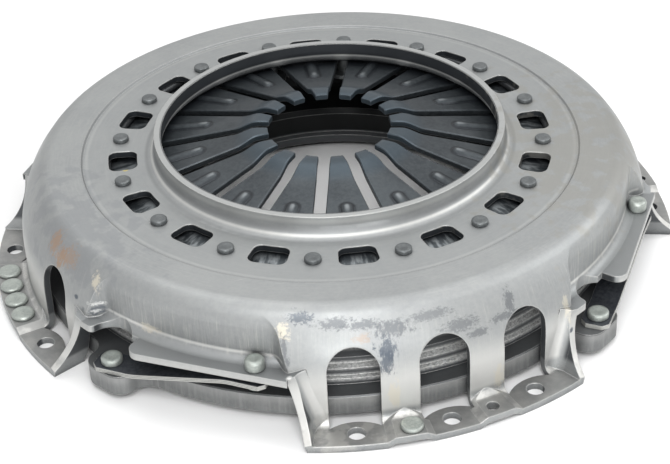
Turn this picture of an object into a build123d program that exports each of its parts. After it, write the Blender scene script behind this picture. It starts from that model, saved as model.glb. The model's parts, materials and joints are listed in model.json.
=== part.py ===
"""Push-type diaphragm-spring clutch cover assembly, at rest off the flywheel.

Frame: millimetres, +Z along the clutch axis from the mounting face towards the release bearing, origin on the
axis in the plane of the bolting flange's mounting face. The four lobes are centred on +X, +Y, -X and -Y.
Angles are in degrees about +Z, and angles that start at a lobe are counted from its centre line.
"""

from build123d import *
from math import atan2, cos, degrees, radians, sin
import os

os.makedirs("parts", exist_ok=True)

# ---- Pressure plate -------------------------------------------------------------------------------------
FRICTION_Z = 5.0  # friction face above the mounting face at rest
PLATE_R = 200.2
PLATE_BORE_R = 114.8
RIM_T = 13.3  # thickness of the outer band and the lugs
RIM_W = 11.9  # outer band, from the rim in to the seat wall
BACK_RISE = 11.7  # plain top of the casting above the outer band
LUG_HALF_W = 17.0
LUG_REACH = 19.0  # lug beyond the rim
LUG_CORNER_R = 11.0
LUG_ROOT_R = 10.0
LUG_DEG = 31.8
FULCRUM_HALF_W = 4.0  # ridge that the spring presses on
RIDGE_FOOT_W = 12.5
RIDGE_FLARE = 4.0
BORE_BAND_H = 5.8
BORE_STEP = 3.2
PLATE_BAND_STEP = 2.3
EDGE_BREAK = 0.8

# ---- Cover pressing -------------------------------------------------------------------------------------
SHEET = 4.5  # thickness of the pressed steel
COLLAR_BORE_R = 110.7
COLLAR_TOP_Z = 88.2
COLLAR_ROOT_R = 8.0  # outside fillet where the collar leaves the annulus
ANNULUS_TOP_Z = 74.0  # face that the pivot rivets are headed on
CROWN_W = 20.4  # flat crown, from its step out to the shoulder
CROWN_STEP_H = 1.4  # rise from the annulus to the crown
SHOULDER_R = 12.6  # outside radius of the shoulder
FLARE_DEG = 40.0  # slope of the shoulder where a lobe flares away from it
RIM_CLEARANCE = 3.0  # between the plate's rim and the inside of the lobe walls
RECESS_DEPTH = 11.7  # lobe walls stand this far out of the recessed sides
CREASE_SLANT_DEG = 32.0  # a crease leans this much from the radius
CREASE_OUT_R = 9.0  # rounding of a crease where it leaves the lobe's wall
CREASE_IN_R = 8.0  # and where it meets the recessed side
LOBE_HALF_DEG = 26.65  # middle of the creases, from a lobe's centre line
LOBE_NAMES = ("right", "back", "left", "front")
LOBE_COUNT = len(LOBE_NAMES)
LOBE_PITCH = 360 / LOBE_COUNT

# ---- Windows of the annulus -----------------------------------------------------------------------------
WINDOW_INWARD = 12.5  # reach of a window each way from the rivet circle
WINDOW_OUTWARD = 6.3
WINDOW_HALF_DEG = 5.0
WINDOW_CORNER_R = 5.5

# ---- Bolting flange -------------------------------------------------------------------------------------
FLANGE_W = 20.5  # flange beyond the lobe's wall
FLANGE_BEND_R = 5.0  # radius over the corner between a lobe's wall and its flange
FOOT_TOP_Z = 14.0  # where the straight wall starts above the flange bend
PAD_RISE = 2.8  # raised pads stand this far off the mounting face
BOLT_INSET = 10.8  # bolt holes in from the flange's edge
BOLT_HOLE_R = 5.5
BOLT_DEG = 15.0  # outer bolt holes, each side of a lobe's centre
RAISED_START_DEG = 4.1  # raised pads lie between the middles of the bends at these angles
RAISED_END_DEG = 10.0
PAD_BEND_W = 5.0  # length of the bend between a raised pad and a bolt pad
FOOT_HALF_DEG = 22.3  # lobe's free edge at the mounting face
FREE_EDGE_DEG = 25.4  # lobe's free edge at the ledge
BALANCE_DEG = 6.6  # balance hole each side of a middle bolt
BALANCE_INSET = 8.2  # balance holes in from the flange's edge
BALANCE_HOLE_R = 3.9
BALANCE_ROW_PITCH_DEG = 4.4
BALANCE_ROW = 4

# ---- Arches in the lobe walls ---------------------------------------------------------------------------
ARCH_W = 31.0
ARCH_TOP_Z = 55.7
ARCH_TONGUE_R = 26.5  # rounded inner edge that an arch leaves on a bolt pad
ARCH_TONGUE_REACH = 10.6  # from the bolt circle in to that edge

# ---- Ledges for the straps ------------------------------------------------------------------------------
LEDGE_TOP_Z = 40.6
LEDGE_BEND_R = 6.0
LEDGE_W = 13.6  # from the recessed wall to the straight outer edge
LEDGE_EDGE_DEG = 52.5  # direction square to that edge
LEDGE_START_DEG = 36.9
LEDGE_CORNER_R = 7.0
NOSE_W = 15.5  # rounded remainder of the ledge beside a lobe
NOSE_END_DEG = 30.0
NOSE_TIP_R = 3.5
WEB_WAIST_W = 5.2  # narrowest reach of the turned-out free edge beyond the lobe's wall
WEB_WAIST_Z = 28.0
WEB_COVE_R = 9.0  # fillet between a lobe's wall and its turned-out edge
NOTCH_R = 14.0  # cut-out over a lug rivet
SEAT_DROP = 2.2  # embossed rivet seat under a ledge
SEAT_R = 9.5

# ---- Straps ---------------------------------------------------------------------------------------------
LEAVES = ("lower", "middle", "upper")
LEAF_T = 1.0
LEAF_W = 17.5
LEAF_LUG_END = 10.0  # leaf beyond its lug rivet
LEAF_LEDGE_END = 8.5
LEAF_FLAT = 12.0  # flat length each side of a rivet
LEAF_CORNER = 3.5
LUG_RIVET_OUT = 9.8  # lug rivet beyond the plate's rim
LUG_RIVET_DEG = 32.2
LEDGE_RIVET_INSET = 6.6  # ledge rivet in from the ledge's straight edge
LEDGE_RIVET_DEG = 58.9
LEAF_BEND_R = 12.0
STRAP_SHANK_R = 4.0
SHANK_CLEARANCE = 0.05
LUG_HEAD_R = 6.65
LUG_HEAD_H = 4.0
LUG_TAIL_R = 6.5
LUG_TAIL_H = 3.0
LUG_POCKET_R = 7.5  # counterbore in a lug's underside
LUG_POCKET_H = 5.0
LEDGE_HEAD_R = 6.0
SPOT_FACE_R = 6.3  # clears the rivet's head of the bend over the ledge
LEDGE_HEAD_H = 7.0
LEDGE_TAIL_R = 6.5
LEDGE_TAIL_H = 3.0

# ---- Balance rivets -------------------------------------------------------------------------------------
BALANCE_SHANK_R = BALANCE_HOLE_R - SHANK_CLEARANCE
BALANCE_HEAD_H = 2.5
BALANCE_ROW_HEAD_R = 7.4
BALANCE_ONE_HEAD_R = 7.0
BALANCE_TAIL_R = 5.6
BALANCE_TAIL_H = 1.8

# ---- Diaphragm spring -----------------------------------------------------------------------------------
FINGERS = 16
SPRING_T = 4.2
SPRING_RIM_GAP = 5.4  # spring's edge inside the start of the shoulder
FULCRUM_INSET = 5.5  # fulcrum ridge in from the spring's edge
SPRING_SLOPE = 0.21  # rise of the cone per millimetre towards the axis
BEND_START_R = 63.0  # fingers bend up inside this radius
TIP_FLAT_R = 48.0
TIP_R = 40.6
TIP_LIFT = 2.4  # tip above the cone's own line
SLOT_W = 7.8
KEYHOLE_R = 8.0
RIB_IN_R = 83.5
RIB_OUT_R = 118.0
RIB_R = 4.4
RIB_PROUD = 1.5

# ---- Pivot rings and rivets -----------------------------------------------------------------------------
RING_WIRE_R = 3.0
RING_R = 148.5
RING_CLEARANCE = 0.2  # between the rings and the rivets' shoulders
PIVOT_SHANK_R = 4.5
PIVOT_SHOULDER_R = 5.3
PIVOT_HEAD_R = 5.2
PIVOT_HEAD_H = 3.0
PIVOT_FLANGE_R = 11.0
PIVOT_FLANGE_H = 3.5
SOFT_GAP = 0.3  # room round the flexing spring

# ---- Radii that follow from the sizes above -------------------------------------------------------------
LUG_R = PLATE_R + LUG_REACH
SEAT_WALL_R = PLATE_R - RIM_W
LOBE_WALL_R = PLATE_R + RIM_CLEARANCE + SHEET
SIDE_WALL_R = LOBE_WALL_R - RECESS_DEPTH
SHOULDER_START_R = SIDE_WALL_R - SHOULDER_R
CROWN_STEP_R = SHOULDER_START_R - CROWN_W
FLANGE_R = LOBE_WALL_R + FLANGE_W
BOLT_CIRCLE_R = FLANGE_R - BOLT_INSET
BALANCE_CIRCLE_R = FLANGE_R - BALANCE_INSET
LEDGE_EDGE_DIST = SIDE_WALL_R + LEDGE_W
NOSE_R = SIDE_WALL_R + NOSE_W
LUG_RIVET_R = PLATE_R + LUG_RIVET_OUT
LEDGE_RIVET_R = LEDGE_EDGE_DIST - LEDGE_RIVET_INSET
SPRING_OUT_R = SHOULDER_START_R - SPRING_RIM_GAP
FULCRUM_R = SPRING_OUT_R - FULCRUM_INSET
RIVET_CIRCLE_R = RING_R - RING_WIRE_R - RING_CLEARANCE - PIVOT_SHOULDER_R
STRAP_HOLE_R = STRAP_SHANK_R + SHANK_CLEARANCE


def polar(r, deg):
    """Point at a radius and an angle."""
    return Vector(r * cos(radians(deg)), r * sin(radians(deg)), 0)


def around(shape, count, start=0.0):
    """Copies of a shape, evenly spaced about the axis."""
    return [Rot(0, 0, start + k * 360 / count) * shape for k in range(count)]


def spin(points_or_face, arc=360.0, start=0.0):
    """Solid of revolution of an (r, z) outline about the axis."""
    face = points_or_face
    if not isinstance(face, Face):
        face = make_face(Polyline(*face, close=True).edges()).face()
    solid = revolve(Plane.XZ * face, Axis.Z, revolution_arc=arc)
    return Rot(0, 0, start) * solid


def arc_point(centre, radius, deg):
    """Point of an (r, z) arc."""
    return (centre[0] + radius * cos(radians(deg)), centre[1] + radius * sin(radians(deg)))


# ---- Heights and centres that follow --------------------------------------------------------------------
PLATE_TOP_Z = FRICTION_Z + RIM_T
WEB_TOP_Z = PLATE_TOP_Z + BACK_RISE
CROWN_Z = ANNULUS_TOP_Z + CROWN_STEP_H
ANNULUS_UNDER_Z = ANNULUS_TOP_Z - SHEET
LEDGE_UNDER_Z = LEDGE_TOP_Z - SHEET
SHOULDER_C = (SHOULDER_START_R, CROWN_Z - SHOULDER_R)
FLARE_START = arc_point(SHOULDER_C, SHOULDER_R, FLARE_DEG)
FLARE_R = (LOBE_WALL_R - FLARE_START[0]) / (1 - cos(radians(FLARE_DEG)))
FLARE_C = (LOBE_WALL_R - FLARE_R, FLARE_START[1] - FLARE_R * sin(radians(FLARE_DEG)))
GUSSET_DEG = degrees(SHEET / SIDE_WALL_R)
SPRING_TOP_AT_RING = ANNULUS_UNDER_Z - RING_WIRE_R - RING_WIRE_R / cos(atan2(SPRING_SLOPE, 1)) - 2 * SOFT_GAP
LEDGE_SEAT_Z = LEDGE_UNDER_Z - SEAT_DROP
PACK_T = LEAF_T * len(LEAVES)
SPRING_DEPTH = SPRING_T / cos(atan2(SPRING_SLOPE, 1))  # the cone's thickness, measured upright
UPPER_RING_Z = ANNULUS_UNDER_Z - SOFT_GAP - RING_WIRE_R
LOWER_RING_Z = SPRING_TOP_AT_RING - SPRING_DEPTH - (RING_WIRE_R + SOFT_GAP) / cos(atan2(SPRING_SLOPE, 1))


def spring_top(r):
    """Height of the spring's upper surface where it is a plain cone."""
    return SPRING_TOP_AT_RING + (RING_R - r) * SPRING_SLOPE


def cover_outline(inset, floor_z):
    """Closed (r, z) region under the cover's lobe surface, moved inwards by inset."""
    shoulder = SHOULDER_R - inset
    flare = FLARE_R - inset
    root = COLLAR_ROOT_R + inset
    collar_r = COLLAR_BORE_R + SHEET - inset
    root_c = (COLLAR_BORE_R + SHEET + COLLAR_ROOT_R, ANNULUS_TOP_Z + COLLAR_ROOT_R)
    lines = [
        Line((0, COLLAR_TOP_Z), (collar_r, COLLAR_TOP_Z)),
        Line((collar_r, COLLAR_TOP_Z), (collar_r, root_c[1])),
        CenterArc(root_c, root, 180, 90),
        Line((root_c[0], ANNULUS_TOP_Z - inset), (CROWN_STEP_R, ANNULUS_TOP_Z - inset)),
        Line((CROWN_STEP_R, ANNULUS_TOP_Z - inset), (CROWN_STEP_R + CROWN_STEP_H, CROWN_Z - inset)),
        Line((CROWN_STEP_R + CROWN_STEP_H, CROWN_Z - inset), (SHOULDER_START_R, CROWN_Z - inset)),
        CenterArc(SHOULDER_C, shoulder, FLARE_DEG, 90 - FLARE_DEG),
        CenterArc(FLARE_C, flare, 0, FLARE_DEG),
        Line((LOBE_WALL_R - inset, FLARE_C[1]), (LOBE_WALL_R - inset, floor_z)),
        Line((LOBE_WALL_R - inset, floor_z), (0, floor_z)),
        Line((0, floor_z), (0, COLLAR_TOP_Z)),
    ]
    return make_face(Wire(lines).edges()).face()


def crease_frame():
    """Middle of the crease between lobe 0 and the side after it, and its plan directions along and out of the wall."""
    middle = polar((LOBE_WALL_R + SIDE_WALL_R) / 2, LOBE_HALF_DEG)
    along = polar(1, LOBE_HALF_DEG - CREASE_SLANT_DEG)
    return middle, along, polar(1, LOBE_HALF_DEG - CREASE_SLANT_DEG + 90)


def crease_round_centre():
    """Centre of the rounding that carries a crease on to the lobe's wall."""
    middle, along, out = crease_frame()
    base = middle - out * CREASE_OUT_R
    reach = base.dot(along)
    radius = LOBE_WALL_R - CREASE_OUT_R
    return base + along * ((reach**2 + radius**2 - base.dot(base)) ** 0.5 - reach)


def side_plan(inset):
    """Plan of the recessed side between lobes 0 and 1, out to its creases, moved inwards by inset."""
    _, along, out = crease_frame()
    centre = crease_round_centre()
    rounding = CREASE_OUT_R - inset
    flat_end = centre + out * rounding
    wall_end = centre + centre.normalized() * rounding
    middle = centre + (out + centre.normalized()).normalized() * rounding
    inner = flat_end - along * (RECESS_DEPTH + 2 * CREASE_OUT_R + 2 * SHEET)
    outer = wall_end.normalized() * (FLANGE_R + 2 * SHEET)
    lines = []
    for place in (lambda point: point, mirror_point):
        lines.append(Line(place(inner), place(flat_end)))
        lines.append(ThreePointArc(place(flat_end), place(middle), place(wall_end)))
        lines.append(Line(place(wall_end), place(outer)))
    lines.append(Line(inner, mirror_point(inner)))
    lines.append(Line(outer, mirror_point(outer)))
    return make_face([line.edge() for line in lines]).face()


def mirror_point(point):
    """Point on the other half of the side between lobes 0 and 1."""
    return polar(hypot_xy(point), LOBE_PITCH - degrees(atan2(point.Y, point.X)))


def side_recess(inset, floor_z):
    """Solid taken off the lobe surface to leave one recessed side, between lobes 0 and 1."""
    far_r = FLANGE_R + SHEET
    shoulder = SHOULDER_R - inset
    start = arc_point(SHOULDER_C, shoulder, FLARE_DEG)
    lines = [
        CenterArc(SHOULDER_C, shoulder, 0, FLARE_DEG),
        Line(start, (far_r, start[1])),
        Line((far_r, start[1]), (far_r, floor_z)),
        Line((far_r, floor_z), (SIDE_WALL_R - inset, floor_z)),
        Line((SIDE_WALL_R - inset, floor_z), (SIDE_WALL_R - inset, SHOULDER_C[1])),
    ]
    swept = spin(make_face(Wire(lines).edges()).face(), LOBE_PITCH)
    plan = Pos(0, 0, floor_z - SHEET) * side_plan(inset)
    recess = swept & extrude(plan, COLLAR_TOP_Z)
    middle, _, out = crease_frame()
    corners = []
    for edge in recess.edges():
        centre = edge.center()
        if centre.Y > centre.X:
            centre = mirror_point(centre) + Vector(0, 0, centre.Z)
        on_crease = abs((centre - middle).dot(out) + inset) < SHANK_CLEARANCE
        on_side = hypot_xy(centre) < SIDE_WALL_R - inset + SHANK_CLEARANCE
        if on_crease and on_side and floor_z < centre.Z < start[1]:
            corners.append(edge)
    return fillet(corners, CREASE_IN_R + inset)


def pressed_bowl():
    """Collar, annulus, shoulder, lobe walls, recessed side walls and the creases between them."""
    outer = spin(cover_outline(0, FOOT_TOP_Z))
    inner = spin(cover_outline(SHEET, FOOT_TOP_Z - SHEET))
    for recess in around(side_recess(0, -SHEET), LOBE_COUNT):
        outer -= recess
    for recess in around(side_recess(SHEET, LEDGE_UNDER_Z), LOBE_COUNT):
        inner -= recess
    throat = Pos(0, 0, COLLAR_TOP_Z) * Cylinder(COLLAR_BORE_R, 2 * SHEET)
    return outer - inner - throat


def above_mount(rise):
    """(r, z) region under the upper surface of a lobe's foot, lifted by rise."""
    centre = (LOBE_WALL_R + FLANGE_BEND_R, rise + SHEET + FLANGE_BEND_R)
    wall_in_r = LOBE_WALL_R - SHEET
    lines = [
        Line((wall_in_r, FOOT_TOP_Z), (LOBE_WALL_R, FOOT_TOP_Z)),
        Line((LOBE_WALL_R, FOOT_TOP_Z), (LOBE_WALL_R, centre[1])),
        CenterArc(centre, FLANGE_BEND_R, 180, 90),
        Line((centre[0], rise + SHEET), (FLANGE_R, rise + SHEET)),
        Line((FLANGE_R, rise + SHEET), (FLANGE_R, -SHEET)),
        Line((FLANGE_R, -SHEET), (wall_in_r, -SHEET)),
        Line((wall_in_r, -SHEET), (wall_in_r, FOOT_TOP_Z)),
    ]
    return make_face(Wire(lines).edges()).face()


def below_mount(rise):
    """(r, z) region under the lower surface of a lobe's foot, lifted by rise."""
    centre = (LOBE_WALL_R + FLANGE_BEND_R, rise + SHEET + FLANGE_BEND_R)
    inner_r = LOBE_WALL_R - 2 * SHEET
    wall_in_r = LOBE_WALL_R - SHEET
    outer_r = FLANGE_R + SHEET
    lines = [
        Line((inner_r, centre[1]), (wall_in_r, centre[1])),
        CenterArc(centre, FLANGE_BEND_R + SHEET, 180, 90),
        Line((centre[0], rise), (outer_r, rise)),
        Line((outer_r, rise), (outer_r, -2 * SHEET)),
        Line((outer_r, -2 * SHEET), (inner_r, -2 * SHEET)),
        Line((inner_r, -2 * SHEET), (inner_r, centre[1])),
    ]
    return make_face(Wire(lines).edges()).face()


def raised_pads(lobe):
    """Angles (start, end) of a lobe's raised pads."""
    if not has_middle_bolt(lobe):
        return [(-RAISED_END_DEG, RAISED_END_DEG)]
    return [(-RAISED_END_DEG, -RAISED_START_DEG), (RAISED_START_DEG, RAISED_END_DEG)]


def pad_wedge(start, end, base_z):
    """Block over a raised pad whose ends slope like its bends, where base_z is the foot of the slopes."""
    wedge = sector(start - PAD_BEND_W, end + PAD_BEND_W)
    slope = degrees(atan2(PAD_RISE, PAD_BEND_W))
    size = 2 * FLANGE_R
    for deg, side in ((start, -1), (end, 1)):
        turn = Rot(0, 0, deg) * Pos(FLANGE_R, side * PAD_BEND_W / 2, base_z) * Rot(side * -slope, 0, 0)
        wedge -= turn * Box(size, size, COLLAR_TOP_Z, align=(Align.CENTER, Align.CENTER, Align.MIN))
    return wedge


def foot(raised):
    """Bend and flange of one lobe on +X, where raised lists the raised pads."""
    arc = (2 * LOBE_HALF_DEG, -LOBE_HALF_DEG)
    upper = spin(above_mount(0), *arc)
    lower = spin(below_mount(0), *arc)
    for start, end in raised:
        upper += spin(above_mount(PAD_RISE), *arc) & pad_wedge(start, end, SHEET)
        lower += spin(below_mount(PAD_RISE), *arc) & pad_wedge(start, end, 0)
    return upper - lower


def free_edge_plane(side):
    """Plane of a lobe's slanting free edge on +X: x is radial, y runs up the edge, z points away from the lobe."""
    low = polar(LOBE_WALL_R, side * FOOT_HALF_DEG)
    high = polar(LOBE_WALL_R, side * FREE_EDGE_DEG) + Vector(0, 0, LEDGE_UNDER_Z)
    radial = polar(1, side * (FOOT_HALF_DEG + FREE_EDGE_DEG) / 2)
    normal = radial.cross(high - low).normalized() * -side
    if normal.dot(polar(1, side * 90)) < 0:
        normal = normal * -1
    return Plane(origin=low, x_dir=radial, z_dir=normal)


def free_edge_cutter(side):
    """Everything outside a lobe's free edge, below the ledge."""
    reach = FLANGE_R - SIDE_WALL_R
    block = free_edge_plane(side) * Box(4 * reach, 6 * reach, reach, align=(Align.CENTER, Align.CENTER, Align.MIN))
    below = Box(4 * FLANGE_R, 4 * FLANGE_R, 2 * LEDGE_UNDER_Z, align=(Align.CENTER, Align.CENTER, Align.CENTER))
    return block & below


def edge_cove(side):
    """Fillet block along the inner corner between a lobe's wall and its turned-out edge."""
    plane = free_edge_plane(side)
    up = plane.y_dir if plane.y_dir.Z > 0 else plane.y_dir * -1
    height = LEDGE_TOP_Z / up.Z
    depth = SHEET + WEB_COVE_R
    centre_x = ((LOBE_WALL_R + WEB_COVE_R) ** 2 - depth**2) ** 0.5 - LOBE_WALL_R
    end_x = centre_x - EDGE_BREAK
    end_depth = depth * LOBE_WALL_R / (LOBE_WALL_R + WEB_COVE_R) - EDGE_BREAK
    root = SHEET / 2
    block = Pos((end_x - root) / 2, -side * (end_depth + root) / 2, height / 2)
    block *= Box(end_x + root, end_depth - root, height)
    block -= Pos(centre_x, -side * depth, height / 2) * Cylinder(WEB_COVE_R, 2 * height)
    return Plane(origin=plane.origin, x_dir=plane.x_dir, z_dir=up) * block


def free_edge_web(side):
    """Turned-out edge of a lobe's wall, from the ledge down to the flange's corner, with its fillet."""
    plane = free_edge_plane(side)

    def on_plane(r, z):
        """Point of the web's outline, by its radius and its height."""
        slant = plane.y_dir.Z
        return (r - LOBE_WALL_R, z / slant)

    wall_in_r = LOBE_WALL_R - SHEET / 2
    outline = [
        ThreePointArc(on_plane(NOSE_R, LEDGE_TOP_Z), on_plane(LOBE_WALL_R + WEB_WAIST_W, WEB_WAIST_Z), on_plane(FLANGE_R, SHEET)),
        Line(on_plane(FLANGE_R, SHEET), on_plane(FLANGE_R, 0)),
        Line(on_plane(FLANGE_R, 0), on_plane(wall_in_r, 0)),
        Line(on_plane(wall_in_r, 0), on_plane(wall_in_r, LEDGE_TOP_Z)),
        Line(on_plane(wall_in_r, LEDGE_TOP_Z), on_plane(NOSE_R, LEDGE_TOP_Z)),
    ]
    profile = plane * make_face(Wire(outline).edges()).face()
    return extrude(profile, -SHEET) + (edge_cove(side) & extrude(profile, -2 * WEB_COVE_R))


def arch_cutter(deg):
    """Arch through a lobe's wall and flange bend, leaving a rounded bolt pad."""
    half = ARCH_W / 2
    spring_line = ARCH_TOP_Z - half
    outline = [
        Line((-half, -SHEET), (half, -SHEET)),
        Line((half, -SHEET), (half, spring_line)),
        CenterArc((0, spring_line), half, 0, 180),
        Line((-half, spring_line), (-half, -SHEET)),
    ]
    reach = LOBE_WALL_R + FLANGE_BEND_R + SHEET / 4
    depth = reach - SHOULDER_START_R + SHOULDER_R
    face = Plane(origin=(reach, 0, 0), x_dir=(0, -1, 0), z_dir=(-1, 0, 0)) * make_face(Wire(outline).edges()).face()
    tongue = Pos(BOLT_CIRCLE_R - ARCH_TONGUE_REACH + ARCH_TONGUE_R, 0, 0) * Cylinder(ARCH_TONGUE_R, 2 * SHEET)
    return Rot(0, 0, deg) * (extrude(face, depth) - tongue)


def ledge_plate():
    """Ledge between lobes 0 and 1: straight outer edge, rivet seat, and the nose beside lobe 0."""
    edge_x = LEDGE_EDGE_DIST
    inner_r = SIDE_WALL_R - SHEET / 2
    last_deg = LOBE_PITCH - LOBE_HALF_DEG + GUSSET_DEG
    blank = ring(inner_r, FLANGE_R, LEDGE_UNDER_Z, LEDGE_TOP_Z)
    band = FLANGE_R * 2
    chord = Rot(0, 0, LEDGE_EDGE_DEG) * Pos(edge_x, 0, LEDGE_UNDER_Z) * Box(
        band, band, 3 * SHEET, align=(Align.MAX, Align.CENTER, Align.CENTER)
    )
    ledge = blank & chord & sector(LEDGE_START_DEG, last_deg)
    nose = ring(inner_r, NOSE_R, LEDGE_UNDER_Z, LEDGE_TOP_Z) & sector(FREE_EDGE_DEG - GUSSET_DEG, NOSE_END_DEG)
    strip = ring(inner_r, SIDE_WALL_R + LEDGE_BEND_R, LEDGE_UNDER_Z, LEDGE_TOP_Z)
    strip &= sector(NOSE_END_DEG, LEDGE_START_DEG)
    corner = [e for e in ledge.edges().filter_by(Axis.Z) if is_free_corner(e, LEDGE_START_DEG)]
    ledge = fillet(corner, LEDGE_CORNER_R)
    seat_at = polar(LEDGE_RIVET_R, LEDGE_RIVET_DEG) + Vector(0, 0, LEDGE_SEAT_Z)
    seat = Pos(*seat_at) * Cylinder(SEAT_R, SEAT_DROP + SHEET, align=(Align.CENTER, Align.CENTER, Align.MIN))
    return ledge + nose + strip + (seat & Pos(0, 0, LEDGE_SEAT_Z) * chord)


def ring(inner_r, outer_r, low_z, high_z):
    """Flat ring about the axis."""
    return spin([(inner_r, low_z), (outer_r, low_z), (outer_r, high_z), (inner_r, high_z)])


def is_free_corner(edge, deg):
    """True for an upright edge at an angle, on the outer side of the ledge."""
    centre = edge.center()
    angle = degrees(atan2(centre.Y, centre.X))
    return abs(angle - deg) < 0.5 and hypot_xy(centre) > SIDE_WALL_R + LEDGE_BEND_R


def hypot_xy(point):
    """Distance of a point from the axis."""
    return (point.X**2 + point.Y**2) ** 0.5


def sector(start, end):
    """Tall wedge about the axis between two angles."""
    tall = 3 * COLLAR_TOP_Z
    outline = [(0, -tall), (2 * FLANGE_R, -tall), (2 * FLANGE_R, tall), (0, tall)]
    return spin(outline, end - start, start)


def ledge_bend():
    """Fillet over a ledge and the rounded inner corner under it, as a solid to add and one to take away."""
    tucked = GUSSET_DEG / 4
    start = LOBE_HALF_DEG - tucked
    arc = LOBE_PITCH - 2 * start
    centre = (SIDE_WALL_R + LEDGE_BEND_R, LEDGE_TOP_Z + LEDGE_BEND_R)
    fill = [
        Line((SIDE_WALL_R - SHEET / 2, centre[1]), (SIDE_WALL_R, centre[1])),
        CenterArc(centre, LEDGE_BEND_R, 180, 90),
        Line((centre[0], LEDGE_TOP_Z), (centre[0], LEDGE_TOP_Z - SHEET / 2)),
        Line((centre[0], LEDGE_TOP_Z - SHEET / 2), (SIDE_WALL_R - SHEET / 2, LEDGE_TOP_Z - SHEET / 2)),
        Line((SIDE_WALL_R - SHEET / 2, LEDGE_TOP_Z - SHEET / 2), (SIDE_WALL_R - SHEET / 2, centre[1])),
    ]
    corner = (SIDE_WALL_R - SHEET, LEDGE_UNDER_Z)
    relief = [
        CenterArc(centre, LEDGE_BEND_R + SHEET, 180, 90),
        Line((centre[0], LEDGE_UNDER_Z), (centre[0], LEDGE_UNDER_Z - SHEET)),
        Line((centre[0], LEDGE_UNDER_Z - SHEET), (corner[0] - SHEET, LEDGE_UNDER_Z - SHEET)),
        Line((corner[0] - SHEET, LEDGE_UNDER_Z - SHEET), (corner[0] - SHEET, centre[1])),
        Line((corner[0] - SHEET, centre[1]), (corner[0], centre[1])),
    ]
    added = spin(make_face(Wire(fill).edges()).face(), arc, start)
    taken = spin(make_face(Wire(relief).edges()).face(), LOBE_PITCH - 2 * (start + GUSSET_DEG), start + GUSSET_DEG)
    return added, taken


def has_middle_bolt(lobe):
    """Front and back lobes have three bolts, the other two have a long raised pad instead of the third."""
    return LOBE_NAMES[lobe] in ("front", "back")


def balance_angles(lobe):
    """Angles of a lobe's balance holes."""
    if has_middle_bolt(lobe):
        return [-BALANCE_DEG, BALANCE_DEG]
    return [(k - (BALANCE_ROW - 1) / 2) * BALANCE_ROW_PITCH_DEG for k in range(BALANCE_ROW)]


def bolt_angles(lobe):
    """Angles of a lobe's bolt holes."""
    return [-BOLT_DEG, 0, BOLT_DEG] if has_middle_bolt(lobe) else [-BOLT_DEG, BOLT_DEG]


def window_cutter():
    """Rounded opening through the annulus, half way between two pivot rivets."""
    mid = 180 / FINGERS
    tall = 4 * SHEET
    inner_r = RIVET_CIRCLE_R - WINDOW_INWARD
    outer_r = RIVET_CIRCLE_R + WINDOW_OUTWARD
    block = spin([(inner_r, 0), (outer_r, 0), (outer_r, tall), (inner_r, tall)], 2 * WINDOW_HALF_DEG)
    block = fillet(block.edges().filter_by(Axis.Z), WINDOW_CORNER_R)
    return Rot(0, 0, mid - WINDOW_HALF_DEG) * Pos(0, 0, ANNULUS_TOP_Z - tall / 2) * block


def drill(r, deg, radius, low_z, high_z):
    """Upright hole."""
    at = polar(r, deg) + Vector(0, 0, low_z)
    return Pos(*at) * Cylinder(radius, high_z - low_z, align=(Align.CENTER, Align.CENTER, Align.MIN))


def lobe_foot(lobe):
    """Bend, flange and turned-out free edges of one lobe, on +X."""
    whole = foot(raised_pads(lobe))
    for side in (-1, 1):
        whole -= free_edge_cutter(side)
    for side in (-1, 1):
        whole += free_edge_web(side)
    return whole


def strap_ledge():
    """Ledge between lobes 0 and 1, with its bend and the notch over the lug rivet."""
    fill, _ = ledge_bend()
    notch = drill(LUG_RIVET_R, LUG_RIVET_DEG, NOTCH_R, 0, LEDGE_TOP_Z + LEDGE_BEND_R)
    ledge = ledge_plate() + fill - notch
    tips = []
    for edge in ledge.edges().filter_by(Axis.Z):
        centre = edge.center()
        deg = degrees(atan2(centre.Y, centre.X))
        if abs(hypot_xy(centre) - NOSE_R) < SHANK_CLEARANCE and FREE_EDGE_DEG < deg < LEDGE_START_DEG:
            tips.append(edge)
    return fillet(tips, NOSE_TIP_R)


def cover():
    """The whole cover pressing."""
    shell = pressed_bowl()
    _, relief = ledge_bend()
    ledge = strap_ledge()
    cuts = []
    for lobe in range(LOBE_COUNT):
        turn = Rot(0, 0, lobe * LOBE_PITCH)
        for side in (-1, 1):
            shell -= turn * free_edge_cutter(side)
        shell -= turn * relief
        shell += turn * ledge
        shell += turn * lobe_foot(lobe)
        holes = [(BOLT_CIRCLE_R, deg, BOLT_HOLE_R) for deg in bolt_angles(lobe)]
        holes += [(BALANCE_CIRCLE_R, deg, BALANCE_HOLE_R) for deg in balance_angles(lobe)]
        cuts += [turn * arch_cutter(deg) for deg in bolt_angles(lobe)]
        cuts += [turn * drill(*hole, -SHEET, 3 * SHEET) for hole in holes]
        cuts.append(turn * drill(LEDGE_RIVET_R, LEDGE_RIVET_DEG, STRAP_HOLE_R, LEAF_T, LEDGE_TOP_Z + SHEET))
        cuts.append(turn * drill(LEDGE_RIVET_R, LEDGE_RIVET_DEG, SPOT_FACE_R, LEDGE_TOP_Z, LEDGE_TOP_Z + 2 * SHEET))
    cuts += around(window_cutter(), FINGERS)
    rivet_hole = drill(RIVET_CIRCLE_R, 0, PIVOT_SHANK_R + SHANK_CLEARANCE, ANNULUS_UNDER_Z - SHEET, CROWN_Z + SHEET)
    return shell - cuts - around(rivet_hole, FINGERS)


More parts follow.
